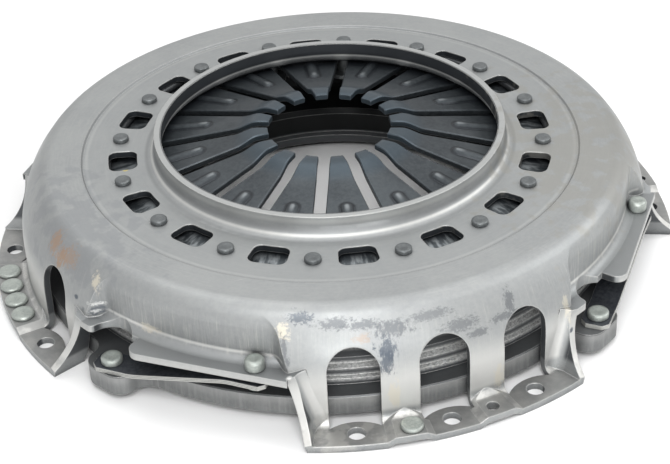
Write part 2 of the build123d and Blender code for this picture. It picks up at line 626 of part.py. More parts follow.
def spring_section():
    """(r, z) section of the diaphragm spring along a finger."""
    bend_z = spring_top(BEND_START_R)
    tip_z = spring_top(TIP_FLAT_R) + TIP_LIFT
    outer_z = spring_top(SPRING_OUT_R)
    down = (0, -SPRING_DEPTH)

    def bend(drop):
        """Rise of the fingers near their tips, lowered by drop."""
        ends = [(BEND_START_R, bend_z - drop), (TIP_FLAT_R, tip_z - drop)]
        return Spline(*ends, tangents=[(-1, SPRING_SLOPE), (-1, 0)])

    lines = [
        Line((SPRING_OUT_R, outer_z), (BEND_START_R, bend_z)),
        bend(0),
        Line((TIP_FLAT_R, tip_z), (TIP_R, tip_z)),
        Line((TIP_R, tip_z), (TIP_R, tip_z + down[1])),
        Line((TIP_R, tip_z + down[1]), (TIP_FLAT_R, tip_z + down[1])),
        bend(SPRING_DEPTH),
        Line((BEND_START_R, bend_z + down[1]), (SPRING_OUT_R, outer_z + down[1])),
        Line((SPRING_OUT_R, outer_z + down[1]), (SPRING_OUT_R, outer_z)),
    ]
    return make_face(Wire(lines).edges()).face()


def rib(drop):
    """Stiffening bead along a finger on +X, its domed top RIB_PROUD over the cone, lowered by drop."""
    depth = RIB_R - RIB_PROUD
    foot_reach = (RIB_R**2 - depth**2) ** 0.5
    start_r = RIB_IN_R + foot_reach
    end_r = RIB_OUT_R - foot_reach
    start = Vector(start_r, 0, spring_top(start_r) - depth - drop)
    end = Vector(end_r, 0, spring_top(end_r) - depth - drop)
    run = end - start
    bar = Plane(origin=start, z_dir=run) * Cylinder(
        RIB_R, run.length, align=(Align.CENTER, Align.CENTER, Align.MIN)
    )
    return bar + Pos(*start) * Sphere(RIB_R) + Pos(*end) * Sphere(RIB_R)


def finger_slot():
    """Slot between two fingers, with its keyhole round a pivot rivet."""
    tall = 2 * COLLAR_TOP_Z
    slot = Pos(RIVET_CIRCLE_R / 2, 0, 0) * Box(RIVET_CIRCLE_R, SLOT_W, tall)
    return slot + Pos(RIVET_CIRCLE_R, 0, 0) * Cylinder(KEYHOLE_R, tall)


def diaphragm_spring():
    """Slotted conical spring with ribbed fingers."""
    disc = spin(spring_section())
    half_pitch = 180 / FINGERS
    upper = spin([(0, spring_top(0) - SPRING_DEPTH / 2), (FLANGE_R, spring_top(FLANGE_R) - SPRING_DEPTH / 2),
                  (FLANGE_R, 2 * COLLAR_TOP_Z), (0, 2 * COLLAR_TOP_Z)])
    bead = rib(0) & upper
    groove = rib(SPRING_DEPTH) - upper
    disc += around(bead, FINGERS, half_pitch)
    return disc - around(finger_slot(), FINGERS) - around(groove, FINGERS, half_pitch)


def wire_ring(centre_z):
    """Pivot ring bent from round wire."""
    return Pos(0, 0, centre_z) * Torus(RING_R, RING_WIRE_R)


def pivot_rivet():
    """Rivet that carries both pivot rings, on +X, headed over the annulus."""
    head_top = ANNULUS_TOP_Z + PIVOT_HEAD_H
    flange_top = LOWER_RING_Z - RING_WIRE_R - SHANK_CLEARANCE
    flange_low = flange_top - PIVOT_FLANGE_H
    chamfer = PIVOT_HEAD_H / 4
    shoulder_top = ANNULUS_UNDER_Z - SHANK_CLEARANCE
    outline = [
        (0, flange_low),
        (PIVOT_FLANGE_R - chamfer, flange_low),
        (PIVOT_FLANGE_R, flange_low + chamfer),
        (PIVOT_FLANGE_R, flange_top),
        (PIVOT_SHOULDER_R, flange_top),
        (PIVOT_SHOULDER_R, shoulder_top),
        (PIVOT_SHANK_R, shoulder_top),
        (PIVOT_SHANK_R, ANNULUS_TOP_Z),
        (PIVOT_HEAD_R, ANNULUS_TOP_Z),
        (PIVOT_HEAD_R, head_top - chamfer),
        (PIVOT_HEAD_R - chamfer, head_top),
        (0, head_top),
    ]
    return Pos(RIVET_CIRCLE_R, 0, 0) * spin(outline)


def plate_section():
    """(r, z) section of the pressure plate."""
    half = FULCRUM_HALF_W
    crest_z = spring_top(FULCRUM_R) - SPRING_DEPTH - (half + SOFT_GAP) / cos(atan2(SPRING_SLOPE, 1))
    shelf = SEAT_WALL_R - PLATE_BAND_STEP
    inside = Polyline(
        (PLATE_BORE_R, FRICTION_Z),
        (PLATE_BORE_R, FRICTION_Z + BORE_BAND_H),
        (PLATE_BORE_R + BORE_STEP, FRICTION_Z + BORE_BAND_H + BORE_STEP / 2),
        (PLATE_BORE_R + BORE_STEP, WEB_TOP_Z - BORE_STEP),
        (PLATE_BORE_R + 2 * BORE_STEP, WEB_TOP_Z),
        (FULCRUM_R - RIDGE_FOOT_W, WEB_TOP_Z),
        (FULCRUM_R - half - 1, WEB_TOP_Z + RIDGE_FLARE),
        (FULCRUM_R - half, crest_z),
    )
    crest = CenterArc((FULCRUM_R, crest_z), half, 0, 180)
    outside = Polyline(
        (FULCRUM_R + half, crest_z),
        (FULCRUM_R + half + 2, WEB_TOP_Z + 2 * RIDGE_FLARE),
        (shelf - 3, WEB_TOP_Z + RIDGE_FLARE),
        (shelf - 3, WEB_TOP_Z),
        (shelf, WEB_TOP_Z - 2),
        (shelf, PLATE_TOP_Z + RIDGE_FLARE + 1),
        (SEAT_WALL_R, PLATE_TOP_Z + RIDGE_FLARE),
        (SEAT_WALL_R, PLATE_TOP_Z),
        (PLATE_R - EDGE_BREAK, PLATE_TOP_Z),
        (PLATE_R, PLATE_TOP_Z - EDGE_BREAK),
        (PLATE_R, FRICTION_Z + EDGE_BREAK),
        (PLATE_R - EDGE_BREAK, FRICTION_Z),
        (PLATE_BORE_R, FRICTION_Z),
    )
    return make_face([*inside.edges(), *crest.edges(), *outside.edges()]).face()


def lug():
    """Drive lug on the plate's rim, on +X, with concave roots."""
    height = PLATE_TOP_Z - FRICTION_Z
    root_reach = LUG_HALF_W + LUG_ROOT_R
    inner_r = PLATE_R - LUG_ROOT_R
    middle_z = (PLATE_TOP_Z + FRICTION_Z) / 2
    arm = Pos((inner_r + LUG_R) / 2, 0, middle_z) * Box(LUG_R - inner_r, 2 * LUG_HALF_W, height)
    tips = [e for e in arm.edges().filter_by(Axis.Z) if e.center().X > LUG_R - LUG_CORNER_R]
    arm = fillet(tips, LUG_CORNER_R)
    root_r = (PLATE_R + LUG_ROOT_R) ** 2 - root_reach**2
    root_x = root_r**0.5
    web = Pos((inner_r + root_x) / 2, 0, middle_z) * Box(root_x - inner_r, 2 * root_reach, height)
    web -= Cylinder(PLATE_R - EDGE_BREAK, 2 * COLLAR_TOP_Z)
    for side in (-1, 1):
        web -= Pos(root_x, side * root_reach, 0) * Cylinder(LUG_ROOT_R, 2 * COLLAR_TOP_Z)
    near = Pos(0, 0, middle_z) * Cylinder(PLATE_R + LUG_ROOT_R, height)
    arm -= Cylinder(PLATE_R - EDGE_BREAK, 2 * COLLAR_TOP_Z)
    return arm + (web & near)


def pressure_plate():
    """Cast plate with its fulcrum ridge, four lugs and the strap rivets' holes."""
    casting = spin(plate_section())
    for lobe in range(LOBE_COUNT):
        casting += Rot(0, 0, lobe * LOBE_PITCH + LUG_DEG) * lug()
    cuts = []
    for lobe in range(LOBE_COUNT):
        turn = Rot(0, 0, lobe * LOBE_PITCH)
        cuts.append(turn * drill(LUG_RIVET_R, LUG_RIVET_DEG, STRAP_HOLE_R, 0, PLATE_TOP_Z + SHEET))
        cuts.append(turn * drill(LUG_RIVET_R, LUG_RIVET_DEG, LUG_POCKET_R, 0, FRICTION_Z + LUG_POCKET_H))
    return casting - cuts


def strap_plane():
    """Upright plane through the strap's centre line beside lobe 0: x runs from its lug rivet to its ledge rivet."""
    start = polar(LUG_RIVET_R, LUG_RIVET_DEG)
    run = polar(LEDGE_RIVET_R, LEDGE_RIVET_DEG) - start
    return Plane(origin=start, x_dir=run, z_dir=run.cross(Vector(0, 0, 1))), run.length


def strap_leaf(level):
    """One leaf of a strap pack, by its place in the pack."""
    plane, length = strap_plane()
    low = PLATE_TOP_Z + level * LEAF_T
    rise = LEDGE_SEAT_Z - PACK_T - PLATE_TOP_Z
    course = [(-LEAF_LUG_END, low), (LEAF_FLAT, low), (length - LEAF_FLAT, low + rise)]
    course.append((length + LEAF_LEDGE_END, low + rise))
    under = FilletPolyline(*course, radius=LEAF_BEND_R)
    over = FilletPolyline(*[(x, z + LEAF_T) for x, z in course], radius=LEAF_BEND_R)
    first = Line(course[0], (course[0][0], low + LEAF_T))
    last = Line(course[-1], (course[-1][0], low + rise + LEAF_T))
    side = plane * make_face([*under.edges(), *over.edges(), first, last]).face()
    band = extrude(side, LEAF_W / 2, both=True)
    corners = [
        e for e in band.edges() if abs(e.length - LEAF_T) < LEAF_T / 10 and abs((e @ 1 - e @ 0).Z) > LEAF_T / 2
    ]
    leaf = chamfer(corners, LEAF_CORNER)
    for r, deg in ((LUG_RIVET_R, LUG_RIVET_DEG), (LEDGE_RIVET_R, LEDGE_RIVET_DEG)):
        leaf -= drill(r, deg, STRAP_HOLE_R, 0, LEDGE_TOP_Z)
    return leaf


def lug_rivet():
    """Rivet through a lug and the strap pack on it."""
    head_low = PLATE_TOP_Z + PACK_T
    head_top = head_low + LUG_HEAD_H
    tail_top = FRICTION_Z + LUG_POCKET_H
    edge = LUG_HEAD_H / 5
    outline = [
        (0, tail_top - LUG_TAIL_H),
        (LUG_TAIL_R - edge, tail_top - LUG_TAIL_H),
        (LUG_TAIL_R, tail_top - LUG_TAIL_H + edge),
        (LUG_TAIL_R, tail_top),
        (STRAP_SHANK_R, tail_top),
        (STRAP_SHANK_R, head_low),
        (LUG_HEAD_R, head_low),
        (LUG_HEAD_R, head_top - edge),
        (LUG_HEAD_R - edge, head_top),
        (0, head_top),
    ]
    return Pos(*polar(LUG_RIVET_R, LUG_RIVET_DEG)) * spin(outline)


def ledge_rivet():
    """Rivet through a ledge and the strap pack under it, with a tall domed head."""
    tail_top = LEDGE_SEAT_Z - PACK_T
    head_top = LEDGE_TOP_Z + LEDGE_HEAD_H
    edge = LEDGE_TAIL_H / 4
    dome = LEDGE_HEAD_R / 2
    lines = [
        Polyline(
            (0, head_top),
            (0, tail_top - LEDGE_TAIL_H),
            (LEDGE_TAIL_R - edge, tail_top - LEDGE_TAIL_H),
            (LEDGE_TAIL_R, tail_top - LEDGE_TAIL_H + edge),
            (LEDGE_TAIL_R, tail_top),
            (STRAP_SHANK_R, tail_top),
            (STRAP_SHANK_R, LEDGE_TOP_Z),
            (LEDGE_HEAD_R, LEDGE_TOP_Z),
            (LEDGE_HEAD_R, head_top - dome),
        ),
        CenterArc((LEDGE_HEAD_R - dome, head_top - dome), dome, 0, 90),
        Line((LEDGE_HEAD_R - dome, head_top), (0, head_top)),
    ]
    face = make_face(Wire([e for line in lines for e in line.edges()]).edges()).face()
    return Pos(*polar(LEDGE_RIVET_R, LEDGE_RIVET_DEG)) * spin(face)


def balance_rivet(head_r, deg):
    """Rivet in a balance hole of a raised pad."""
    pad_top = PAD_RISE + SHEET
    edge = BALANCE_HEAD_H / 3
    outline = [
        (0, PAD_RISE - BALANCE_TAIL_H),
        (BALANCE_TAIL_R, PAD_RISE - BALANCE_TAIL_H),
        (BALANCE_TAIL_R, PAD_RISE),
        (BALANCE_SHANK_R, PAD_RISE),
        (BALANCE_SHANK_R, pad_top),
        (head_r, pad_top),
        (head_r, pad_top + BALANCE_HEAD_H - edge),
        (head_r - edge, pad_top + BALANCE_HEAD_H),
        (0, pad_top + BALANCE_HEAD_H),
    ]
    return Pos(*polar(BALANCE_CIRCLE_R, deg)) * spin(outline)


def save(name, solids):
    """One STEP file per node, which may hold several separate solids."""
    shape = Compound(children=list(solids)) if isinstance(solids, list) else solids
    export_step(shape, os.path.join("parts", name + ".step"))


save("cover", cover())
save("diaphragm_spring", diaphragm_spring())
save("upper_pivot_ring", wire_ring(UPPER_RING_Z))
save("lower_pivot_ring", wire_ring(LOWER_RING_Z))
save("pivot_rivets", around(pivot_rivet(), FINGERS))
save("pressure_plate", pressure_plate())
save("lug_strap_rivets", around(lug_rivet(), LOBE_COUNT))
save("ledge_strap_rivets", around(ledge_rivet(), LOBE_COUNT))
for level, leaf_name in enumerate(LEAVES):
    leaf = strap_leaf(level)
    for lobe, lobe_name in enumerate(LOBE_NAMES):
        next_name = LOBE_NAMES[(lobe + 1) % LOBE_COUNT]
        save(f"strap_leaf_{lobe_name}_{next_name}_{leaf_name}", Rot(0, 0, lobe * LOBE_PITCH) * leaf)
left_start = LOBE_NAMES.index("left") * LOBE_PITCH
front_start = LOBE_NAMES.index("front") * LOBE_PITCH
row = balance_angles(LOBE_NAMES.index("left"))
save("balance_rivets_left", [balance_rivet(BALANCE_ROW_HEAD_R, left_start + deg) for deg in row])
save("balance_rivet_front", balance_rivet(BALANCE_ONE_HEAD_R, front_start - BALANCE_DEG))
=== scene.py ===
"""Dressed model of a diaphragm-spring clutch cover assembly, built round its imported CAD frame.

Lengths are metres in the CAD's own frame: +Z runs along the clutch axis from the mounting face towards the
release bearing, and the four flange lobes are centred on +X, +Y, -X and -Y.
"""

from __future__ import annotations

import json
import logging
import math
from dataclasses import dataclass, replace
from enum import Enum
from functools import cache, reduce
from operator import mul, or_
from typing import Any, Callable, Iterable, Sequence

import bmesh
import bpy
from mathutils import Matrix, Vector

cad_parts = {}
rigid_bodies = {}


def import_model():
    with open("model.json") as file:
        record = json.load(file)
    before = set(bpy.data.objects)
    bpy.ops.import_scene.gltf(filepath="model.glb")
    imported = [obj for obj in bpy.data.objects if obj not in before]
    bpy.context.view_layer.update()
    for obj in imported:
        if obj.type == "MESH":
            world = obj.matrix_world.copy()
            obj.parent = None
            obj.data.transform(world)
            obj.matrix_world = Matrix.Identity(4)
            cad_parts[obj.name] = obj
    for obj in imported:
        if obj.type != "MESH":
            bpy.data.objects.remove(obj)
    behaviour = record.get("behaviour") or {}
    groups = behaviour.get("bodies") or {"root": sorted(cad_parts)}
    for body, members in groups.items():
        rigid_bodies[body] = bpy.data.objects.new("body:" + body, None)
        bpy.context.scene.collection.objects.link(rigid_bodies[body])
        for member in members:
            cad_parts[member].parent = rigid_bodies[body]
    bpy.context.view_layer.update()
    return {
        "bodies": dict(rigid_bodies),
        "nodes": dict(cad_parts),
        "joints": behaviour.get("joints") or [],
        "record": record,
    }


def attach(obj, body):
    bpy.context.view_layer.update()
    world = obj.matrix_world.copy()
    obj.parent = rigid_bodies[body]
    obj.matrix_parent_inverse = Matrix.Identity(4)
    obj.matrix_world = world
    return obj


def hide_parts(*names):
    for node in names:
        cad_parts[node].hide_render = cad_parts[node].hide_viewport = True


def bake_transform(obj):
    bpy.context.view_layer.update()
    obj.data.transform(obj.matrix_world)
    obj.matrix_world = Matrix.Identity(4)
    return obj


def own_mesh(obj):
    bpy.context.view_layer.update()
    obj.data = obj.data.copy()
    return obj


LOG = logging.getLogger("clutch")

Colour = tuple[float, float, float]
Point = tuple[float, float, float]
Span = tuple[float, float]
Noise = tuple[float, float, float]  # scale, detail and roughness
Value = Any  # a constant or a Signal

MM = 0.001
FINGER_COUNT = 16
LOBES = ("right", "back", "left", "front")
LEAVES = ("lower", "middle", "upper")


# ---- Node trees -----------------------------------------------------------------------------------------
def arithmetic(operation: str, swapped: bool = False) -> Callable[[Signal, Value], Signal]:
    """Makes an operator of signals.

    Args:
        operation: What its Math node does.
        swapped: Whether the signal is the node's second value.

    Returns:
        The operator's method.
    """

    def work(self: Signal, other: Value) -> Signal:
        """Adds the Math node."""
        first, second = (other, self) if swapped else (self, other)
        return self.tree.maths(operation, first, second)

    return work


class Signal:
    """Output of a node, with operators that add Math nodes, where | gives the larger of two values."""

    def __init__(self, tree: Tree, socket: bpy.types.NodeSocket) -> None:
        """Keeps the output and its tree."""
        self.tree = tree
        self.socket = socket

    __add__ = arithmetic("ADD")
    __sub__ = arithmetic("SUBTRACT")
    __rsub__ = arithmetic("SUBTRACT", swapped=True)
    __mul__ = arithmetic("MULTIPLY")
    __truediv__ = arithmetic("DIVIDE")
    __rtruediv__ = arithmetic("DIVIDE", swapped=True)
    __or__ = arithmetic("MAXIMUM")

    def __abs__(self) -> Signal:
        """Size without its sign."""
        return self.tree.maths("ABSOLUTE", self)

    def ramp(self, low: Value, high: Value, to_low: float = 0.0, to_high: float = 1.0,
             smooth: bool = True) -> Signal:
        """Maps the signal from one span to another and holds it at both ends.

        Args:
            low: Value where the span starts.
            high: Value where it ends.
            to_low: Result at its start.
            to_high: Result at its end.
            smooth: Whether the change eases in and out.

        Returns:
            The mapped signal.
        """
        kind = "SMOOTHSTEP" if smooth else "LINEAR"
        inputs = {0: self, 1: low, 2: high, 3: to_low, 4: to_high}
        return self.tree.get("ShaderNodeMapRange", inputs, interpolation_type=kind, clamp=True)

    def line(self, at: float, half: float, core: float = 0.0) -> Signal:
        """Soft mask that is full within a core of one value and gone half a width off it."""
        return abs(self - at).ramp(half, core)


class Tree:
    """Short calls for building one node tree."""

    def __init__(self, tree: bpy.types.NodeTree) -> None:
        """Keeps the node tree that the calls add to."""
        self.tree = tree

    def add(self, kind: str, inputs: dict[Any, Value] | None = None, **settings: Any) -> bpy.types.Node:
        """Adds a node.

        Args:
            kind: Blender's name of the node type.
            inputs: Socket name or index to a constant or a signal.
            settings: Attributes of the node.

        Returns:
            The new node.
        """
        node = self.tree.nodes.new(kind)
        for name, value in settings.items():
            setattr(node, name, value)
        for key, value in (inputs or {}).items():
            self.feed(node.inputs[key], value)
        return node

    def feed(self, socket: bpy.types.NodeSocket, value: Value) -> None:
        """Links a signal to a socket, or sets a constant on it.

        Args:
            socket: The input socket.
            value: The signal or the constant.
        """
        if isinstance(value, Signal):
            self.tree.links.new(value.socket, socket)
        elif socket.type == "RGBA" and len(value) == 3:
            socket.default_value = (*value, 1.0)
        else:
            socket.default_value = value

    def every(self, kind: str, inputs: dict[Any, Value] | None = None, **settings: Any) -> dict[str, Signal]:
        """Adds a node and gives all its outputs by name."""
        node = self.add(kind, inputs, **settings)
        return {socket.name: Signal(self, socket) for socket in node.outputs}

    def get(self, kind: str, inputs: dict[Any, Value] | None = None, output: int | str = 0,
            **settings: Any) -> Signal:
        """Adds a node and gives one of its outputs."""
        return Signal(self, self.add(kind, inputs, **settings).outputs[output])

    def maths(self, operation: str, first: Value, second: Value = 0.0) -> Signal:
        """Result of a Math node."""
        return self.get("ShaderNodeMath", {0: first, 1: second}, operation=operation)

    def vector(self, operation: str, first: Value, second: Value = (0, 0, 0)) -> Signal:
        """Result of a Vector Math node."""
        output = "Value" if operation in ("LENGTH", "DOT_PRODUCT") else "Vector"
        return self.get("ShaderNodeVectorMath", {0: first, 1: second}, output, operation=operation)

    def mix(self, factor: Value, first: Value, second: Value) -> Signal:
        """Colour mixed between two colours."""
        inputs = {0: factor, 6: first, 7: second}
        return self.get("ShaderNodeMix", inputs, 2, data_type="RGBA", clamp_factor=True)

    def noise(self, vector: Value, scale: Value, detail: float, rough: float) -> Signal:
        """Noise between 0 and 1."""
        inputs = {"Vector": vector, "Scale": scale, "Detail": detail, "Roughness": rough}
        return self.get("ShaderNodeTexNoise", inputs, noise_dimensions="3D")

    def stretch(self, vector: Value, scale: Point, turn: Point = (0, 0, 0)) -> Signal:
        """Coordinates turned and stretched for a pattern."""
        return self.get("ShaderNodeMapping", {0: vector, 2: turn, 3: scale})

    def place(self) -> Signal:
        """Object coordinates."""
        return self.get("ShaderNodeTexCoord", output="Object")

    def group(self, group: bpy.types.NodeTree, **values: Value) -> dict[str, Signal]:
        """Adds a node group with its inputs set by name and gives its outputs."""
        node = self.add("ShaderNodeGroup", values, node_tree=group)
        return {socket.name: Signal(self, socket) for socket in node.outputs}


Work = Callable[[Tree, dict[str, Signal]], dict[str, Signal]]
Maker = Callable[[], bpy.types.NodeTree]


def shared(label: str, **inputs: Value) -> Callable[[Work], Maker]:
    """Makes a node group, built once, out of the function that works out its outputs.

    Args:
        label: The group's name.
        inputs: Names and defaults of its inputs, each a number or a vector.

    Returns:
        The decorator for that function.
    """

    def decorate(work: Work) -> Maker:
        """Wraps the function."""

        @cache
        def build() -> bpy.types.NodeTree:
            """Builds the group."""
            group = bpy.data.node_groups.new(label, "ShaderNodeTree")
            for name, default in inputs.items():
                kind = "NodeSocketFloat" if isinstance(default, float) else "NodeSocketVector"
                group.interface.new_socket(name, in_out="INPUT", socket_type=kind).default_value = default
            tree = Tree(group)
            results = work(tree, tree.every("NodeGroupInput"))
            for name, value in results.items():
                kind = "NodeSocketVector" if value.socket.type == "VECTOR" else "NodeSocketFloat"
                group.interface.new_socket(name, in_out="OUTPUT", socket_type=kind)
            tree.add("NodeGroupOutput", results)
            return group

        return build

    return decorate


class Effects:
    """Node groups that more than one finish uses.

    Each comes from a function that takes the group's tree and its inputs by name, and returns its outputs by
    name.
    """

    UNROLL_R = 0.2
    EDGE_SAMPLES = 4
    CREVICE_SHADE_SAMPLES = 3
    CLOUDS = (5.0, 0.62)
    SPECKS = (3.0, 0.7)
    SCRATCH_DRAW = (1.0, 26.0, 26.0)
    SCRATCH_TURNS = ((0.2, 0.1, 0.5), (0.7, -0.3, 2.0), (-0.4, 0.5, 3.9))
    SCRATCH_LINES = (2.0, 0.4)
    SCRATCH_BREAKS: Noise = (38.0, 2.0, 0.5)
    RAGGED_SHADE_EDGE: Noise = (160.0, 4.0, 0.65)

    @staticmethod
    @shared("Polar place")
    def polar(tree: Tree, _: dict[str, Signal]) -> dict[str, Signal]:
        """Radius from the clutch axis, angle about it in turns, height, and the place rolled out flat."""
        x, y, z = tree.every("ShaderNodeSeparateXYZ", {0: tree.place()}).values()
        radius = tree.maths("SQRT", x * x + y * y)
        turn = tree.maths("ARCTAN2", y, x) / math.tau
        rolled = tree.get("ShaderNodeCombineXYZ", {0: turn * (math.tau * Effects.UNROLL_R), 1: radius, 2: z})
        return {"Radius": radius, "Turn": turn, "Height": z, "Unrolled": rolled}

    @staticmethod
    @shared("Mottle", Size=0.03, Specks=0.004)
    def mottle(tree: Tree, ins: dict[str, Signal]) -> dict[str, Signal]:
        """Broad cloudy variation with finer specks in it."""
        place = tree.place()
        clouds = tree.noise(place, 1.0 / ins["Size"], *Effects.CLOUDS)
        specks = tree.noise(place, 1.0 / ins["Specks"], *Effects.SPECKS)
        return {"Clouds": clouds.ramp(0.33, 0.67), "Specks": specks.ramp(0.35, 0.65)}

    @staticmethod
    @shared("Scratches", Density=0.5, Length=0.03)
    def scratches(tree: Tree, ins: dict[str, Signal]) -> dict[str, Signal]:
        """Thin handling scratches that run several ways, as a mask."""
        place = tree.place()
        reach = 1.0 / ins["Length"]
        faintest = 0.86 - ins["Density"] * 0.2
        drawn = [tree.stretch(place, Effects.SCRATCH_DRAW, turn) for turn in Effects.SCRATCH_TURNS]
        lines = [tree.noise(way, reach, *Effects.SCRATCH_LINES).ramp(faintest, 0.9) for way in drawn]
        broken = tree.noise(place, *Effects.SCRATCH_BREAKS).ramp(0.45, 0.6)
        return {"Mask": reduce(or_, lines) * broken}

    @staticmethod
    @shared("Worn edges", Width=0.0007)
    def edges(tree: Tree, ins: dict[str, Signal]) -> dict[str, Signal]:
        """Rounded normal near sharp edges, and a mask of those edges."""
        rounded = tree.get("ShaderNodeBevel", {"Radius": ins["Width"]}, samples=Effects.EDGE_SAMPLES)
        flat = tree.get("ShaderNodeNewGeometry", output="Normal")
        match = tree.vector("DOT_PRODUCT", rounded, flat)
        return {"Mask": match.ramp(0.995, 0.86, smooth=False), "Normal": rounded}

    @staticmethod
    @shared("Grime", Reach=0.008)
    def crevice_shade(tree: Tree, ins: dict[str, Signal]) -> dict[str, Signal]:
        """Painted shade that darkens corners and crevices, from ambient occlusion broken by ragged noise, as
        a mask.
        """
        near = {"Distance": ins["Reach"]}
        clear = tree.get("ShaderNodeAmbientOcclusion", near, "AO", samples=Effects.CREVICE_SHADE_SAMPLES)
        ragged = (tree.noise(tree.place(), *Effects.RAGGED_SHADE_EDGE) - 0.5) * 0.5
        return {"Mask": (clear + ragged).ramp(0.72, 0.3)}

    @staticmethod
    @shared("Facing")
    def facing(tree: Tree, _: dict[str, Signal]) -> dict[str, Signal]:
        """How far a surface faces up, and how far it faces away from the axis."""
        outward = tree.vector("NORMALIZE", tree.vector("MULTIPLY", tree.place(), (1, 1, 0)))
        normal = tree.get("ShaderNodeNewGeometry", output="Normal")
        up = tree.get("ShaderNodeSeparateXYZ", {0: normal}, "Z")
        return {"Up": up, "Out": tree.vector("DOT_PRODUCT", normal, outward)}

    @staticmethod
    @shared("Stain", Centre=(0, 0, 0), Reach=(0.02, 0.02, 0.02), Grain=0.5)
    def patch(tree: Tree, ins: dict[str, Signal]) -> dict[str, Signal]:
        """Ragged patch round one place, as a mask."""
        away = tree.vector("SUBTRACT", tree.place(), ins["Centre"])
        far = tree.vector("LENGTH", tree.vector("DIVIDE", away, ins["Reach"]))
        return {"Mask": (far + (ins["Grain"] - 0.5) * 4.0).ramp(1.0, 0.45)}


# ---- Zones of a surface ---------------------------------------------------------------------------------
class Axis(Enum):
    """What a zone's limits are measured on."""

    RADIUS = "distance from the clutch axis"
    HEIGHT = "height"
    UP = "how far the surface faces up"
    OUT = "how far it faces away from the axis"
    TILT = "how far it faces up or down"


RADIUS, HEIGHT, UP, OUT, TILT = Axis


class Surface:
    """Where a point of a surface is and which way it faces."""

    def __init__(self, tree: Tree) -> None:
        """Reads the place and the facing in a material's tree.

        Args:
            tree: The tree.
        """
        polar, facing = tree.group(Effects.polar()), tree.group(Effects.facing())
        up = facing["Up"]
        self.tree = tree
        self.turn = polar["Turn"]
        self.unrolled = polar["Unrolled"]
        self.values = {RADIUS: polar["Radius"], HEIGHT: polar["Height"], UP: up, OUT: facing["Out"]}
        self.values[TILT] = abs(up)
        self.masks: dict[Mask, Signal] = {}

    def read(self, mask: Mask) -> Signal:
        """Makes a mask's signal once.

        Args:
            mask: The mask.

        Returns:
            Its signal on this surface.
        """
        if mask not in self.masks:
            self.masks[mask] = mask.on(self)
        return self.masks[mask]


class Mask:
    """Share between 0 and 1 at each place of a surface."""

    def on(self, surface: Surface) -> Signal:
        """The share as a signal."""
        raise NotImplementedError


@dataclass(frozen=True)
class Limit(Mask):
    """One side of a zone.

    Args:
        axis: What it is measured on.
        absent: Value at which the zone has faded out.
        full: Value at which it is full.
        least: Share that stays where it has faded out.
        most: Share where it is full.
    """

    axis: Axis
    absent: float
    full: float
    least: float = 0.0
    most: float = 1.0

    def on(self, surface: Surface) -> Signal:
        """How far the zone has faded in."""
        return surface.values[self.axis].ramp(self.absent, self.full, self.least, self.most)


@dataclass(frozen=True)
class Line(Mask):
    """Soft line at one value.

    Args:
        axis: What it is measured on.
        at: Its middle.
        half: Half its width.
        core: Half the width of its full part.
    """

    axis: Axis
    at: float
    half: float
    core: float = 0.0

    def on(self, surface: Surface) -> Signal:
        """How strong the line is."""
        return surface.values[self.axis].line(self.at, self.half, self.core)


@dataclass(frozen=True)
class Texture(Mask):
    """Noise drawn out over the unrolled surface.

    Args:
        draw: How often it changes round the axis, across it and upwards.
        noise: Its scale, detail and roughness.
        fade: Noise values between which it fades in, and the shares there where they aren't 0 and 1.
    """

    draw: Point
    noise: Noise
    fade: tuple[float, ...]

    def on(self, surface: Surface) -> Signal:
        """How strong the noise is."""
        drawn = surface.tree.stretch(surface.unrolled, self.draw)
        return surface.tree.noise(drawn, *self.noise).ramp(*self.fade)


@dataclass(frozen=True)
class Clouds(Mask):
    """Broad clouds.

    Args:
        size: Their size.
        specks: Size of the specks in them.
        dark: Share where they are dark.
        pale: Share where they are pale.
        steep: Cloud values between which the share changes.
    """

    size: float = 0.016
    specks: float = 0.003
    dark: float = 0.0
    pale: float = 1.0
    steep: Span | None = None

    def on(self, surface: Surface) -> Signal:
        """How strong the clouds are."""
        clouds = surface.tree.group(Effects.mottle(), Size=self.size, Specks=self.specks)["Clouds"]
        return clouds.ramp(*self.steep, self.dark, self.pale) if self.steep else clouds


@dataclass(frozen=True)
class Area(Mask):
    """Place where several masks overlap.

    Args:
        amount: Share where all of them are full.
        parts: The masks.
    """

    amount: float
    parts: tuple[Mask, ...]

    def on(self, surface: Surface) -> Signal:
        """Product of the masks."""
        return reduce(mul, [surface.read(part) for part in self.parts]) * self.amount


@dataclass(frozen=True)
class Strongest(Mask):
    """The strongest of several masks at each place.

    Args:
        parts: The masks.
    """

    parts: tuple[Mask, ...]

    def on(self, surface: Surface) -> Signal:
        """Maximum of the masks."""
        return reduce(or_, [surface.read(part) for part in self.parts])


@dataclass(frozen=True)
class Zone(Area):
    """Area with a tone of its own; some zones paint light and shade in that tone.

    Args:
        tone: Its colour.
    """

    tone: Colour


def zone(tone: Colour, amount: float, *parts: Mask) -> Zone:
    """Zone of a tone where masks overlap."""
    return Zone(amount, parts, tone)


# ---- Finishes -------------------------------------------------------------------------------------------
class Grain(Enum):
    """Kinds of ragged detail that a discoloured place or a painted highlight can have, by how it is drawn out
    and its noise.
    """

    SPECKLED = ((0.8, 0.8, 1.3), (500.0, 6.0, 0.8))
    SMEARED = ((1.0, 1.0, 0.3), (450.0, 6.0, 0.8))
    SOFT = ((1.0, 1.0, 1.0), (90.0, 3.0, 0.5))


@dataclass(frozen=True)
class Stain:
    """One discoloured place on a surface, or one place of painted highlight or painted light.

    Args:
        centre: Its middle, in millimetres.
        reach: Half its size along each axis, in millimetres.
        tone: Its colour.
        strength: How much of the colour shows.
        grain: Its ragged detail.
    """

    centre: Point
    reach: Point
    tone: Colour
    strength: float = 0.7
    grain: Grain = Grain.SPECKLED


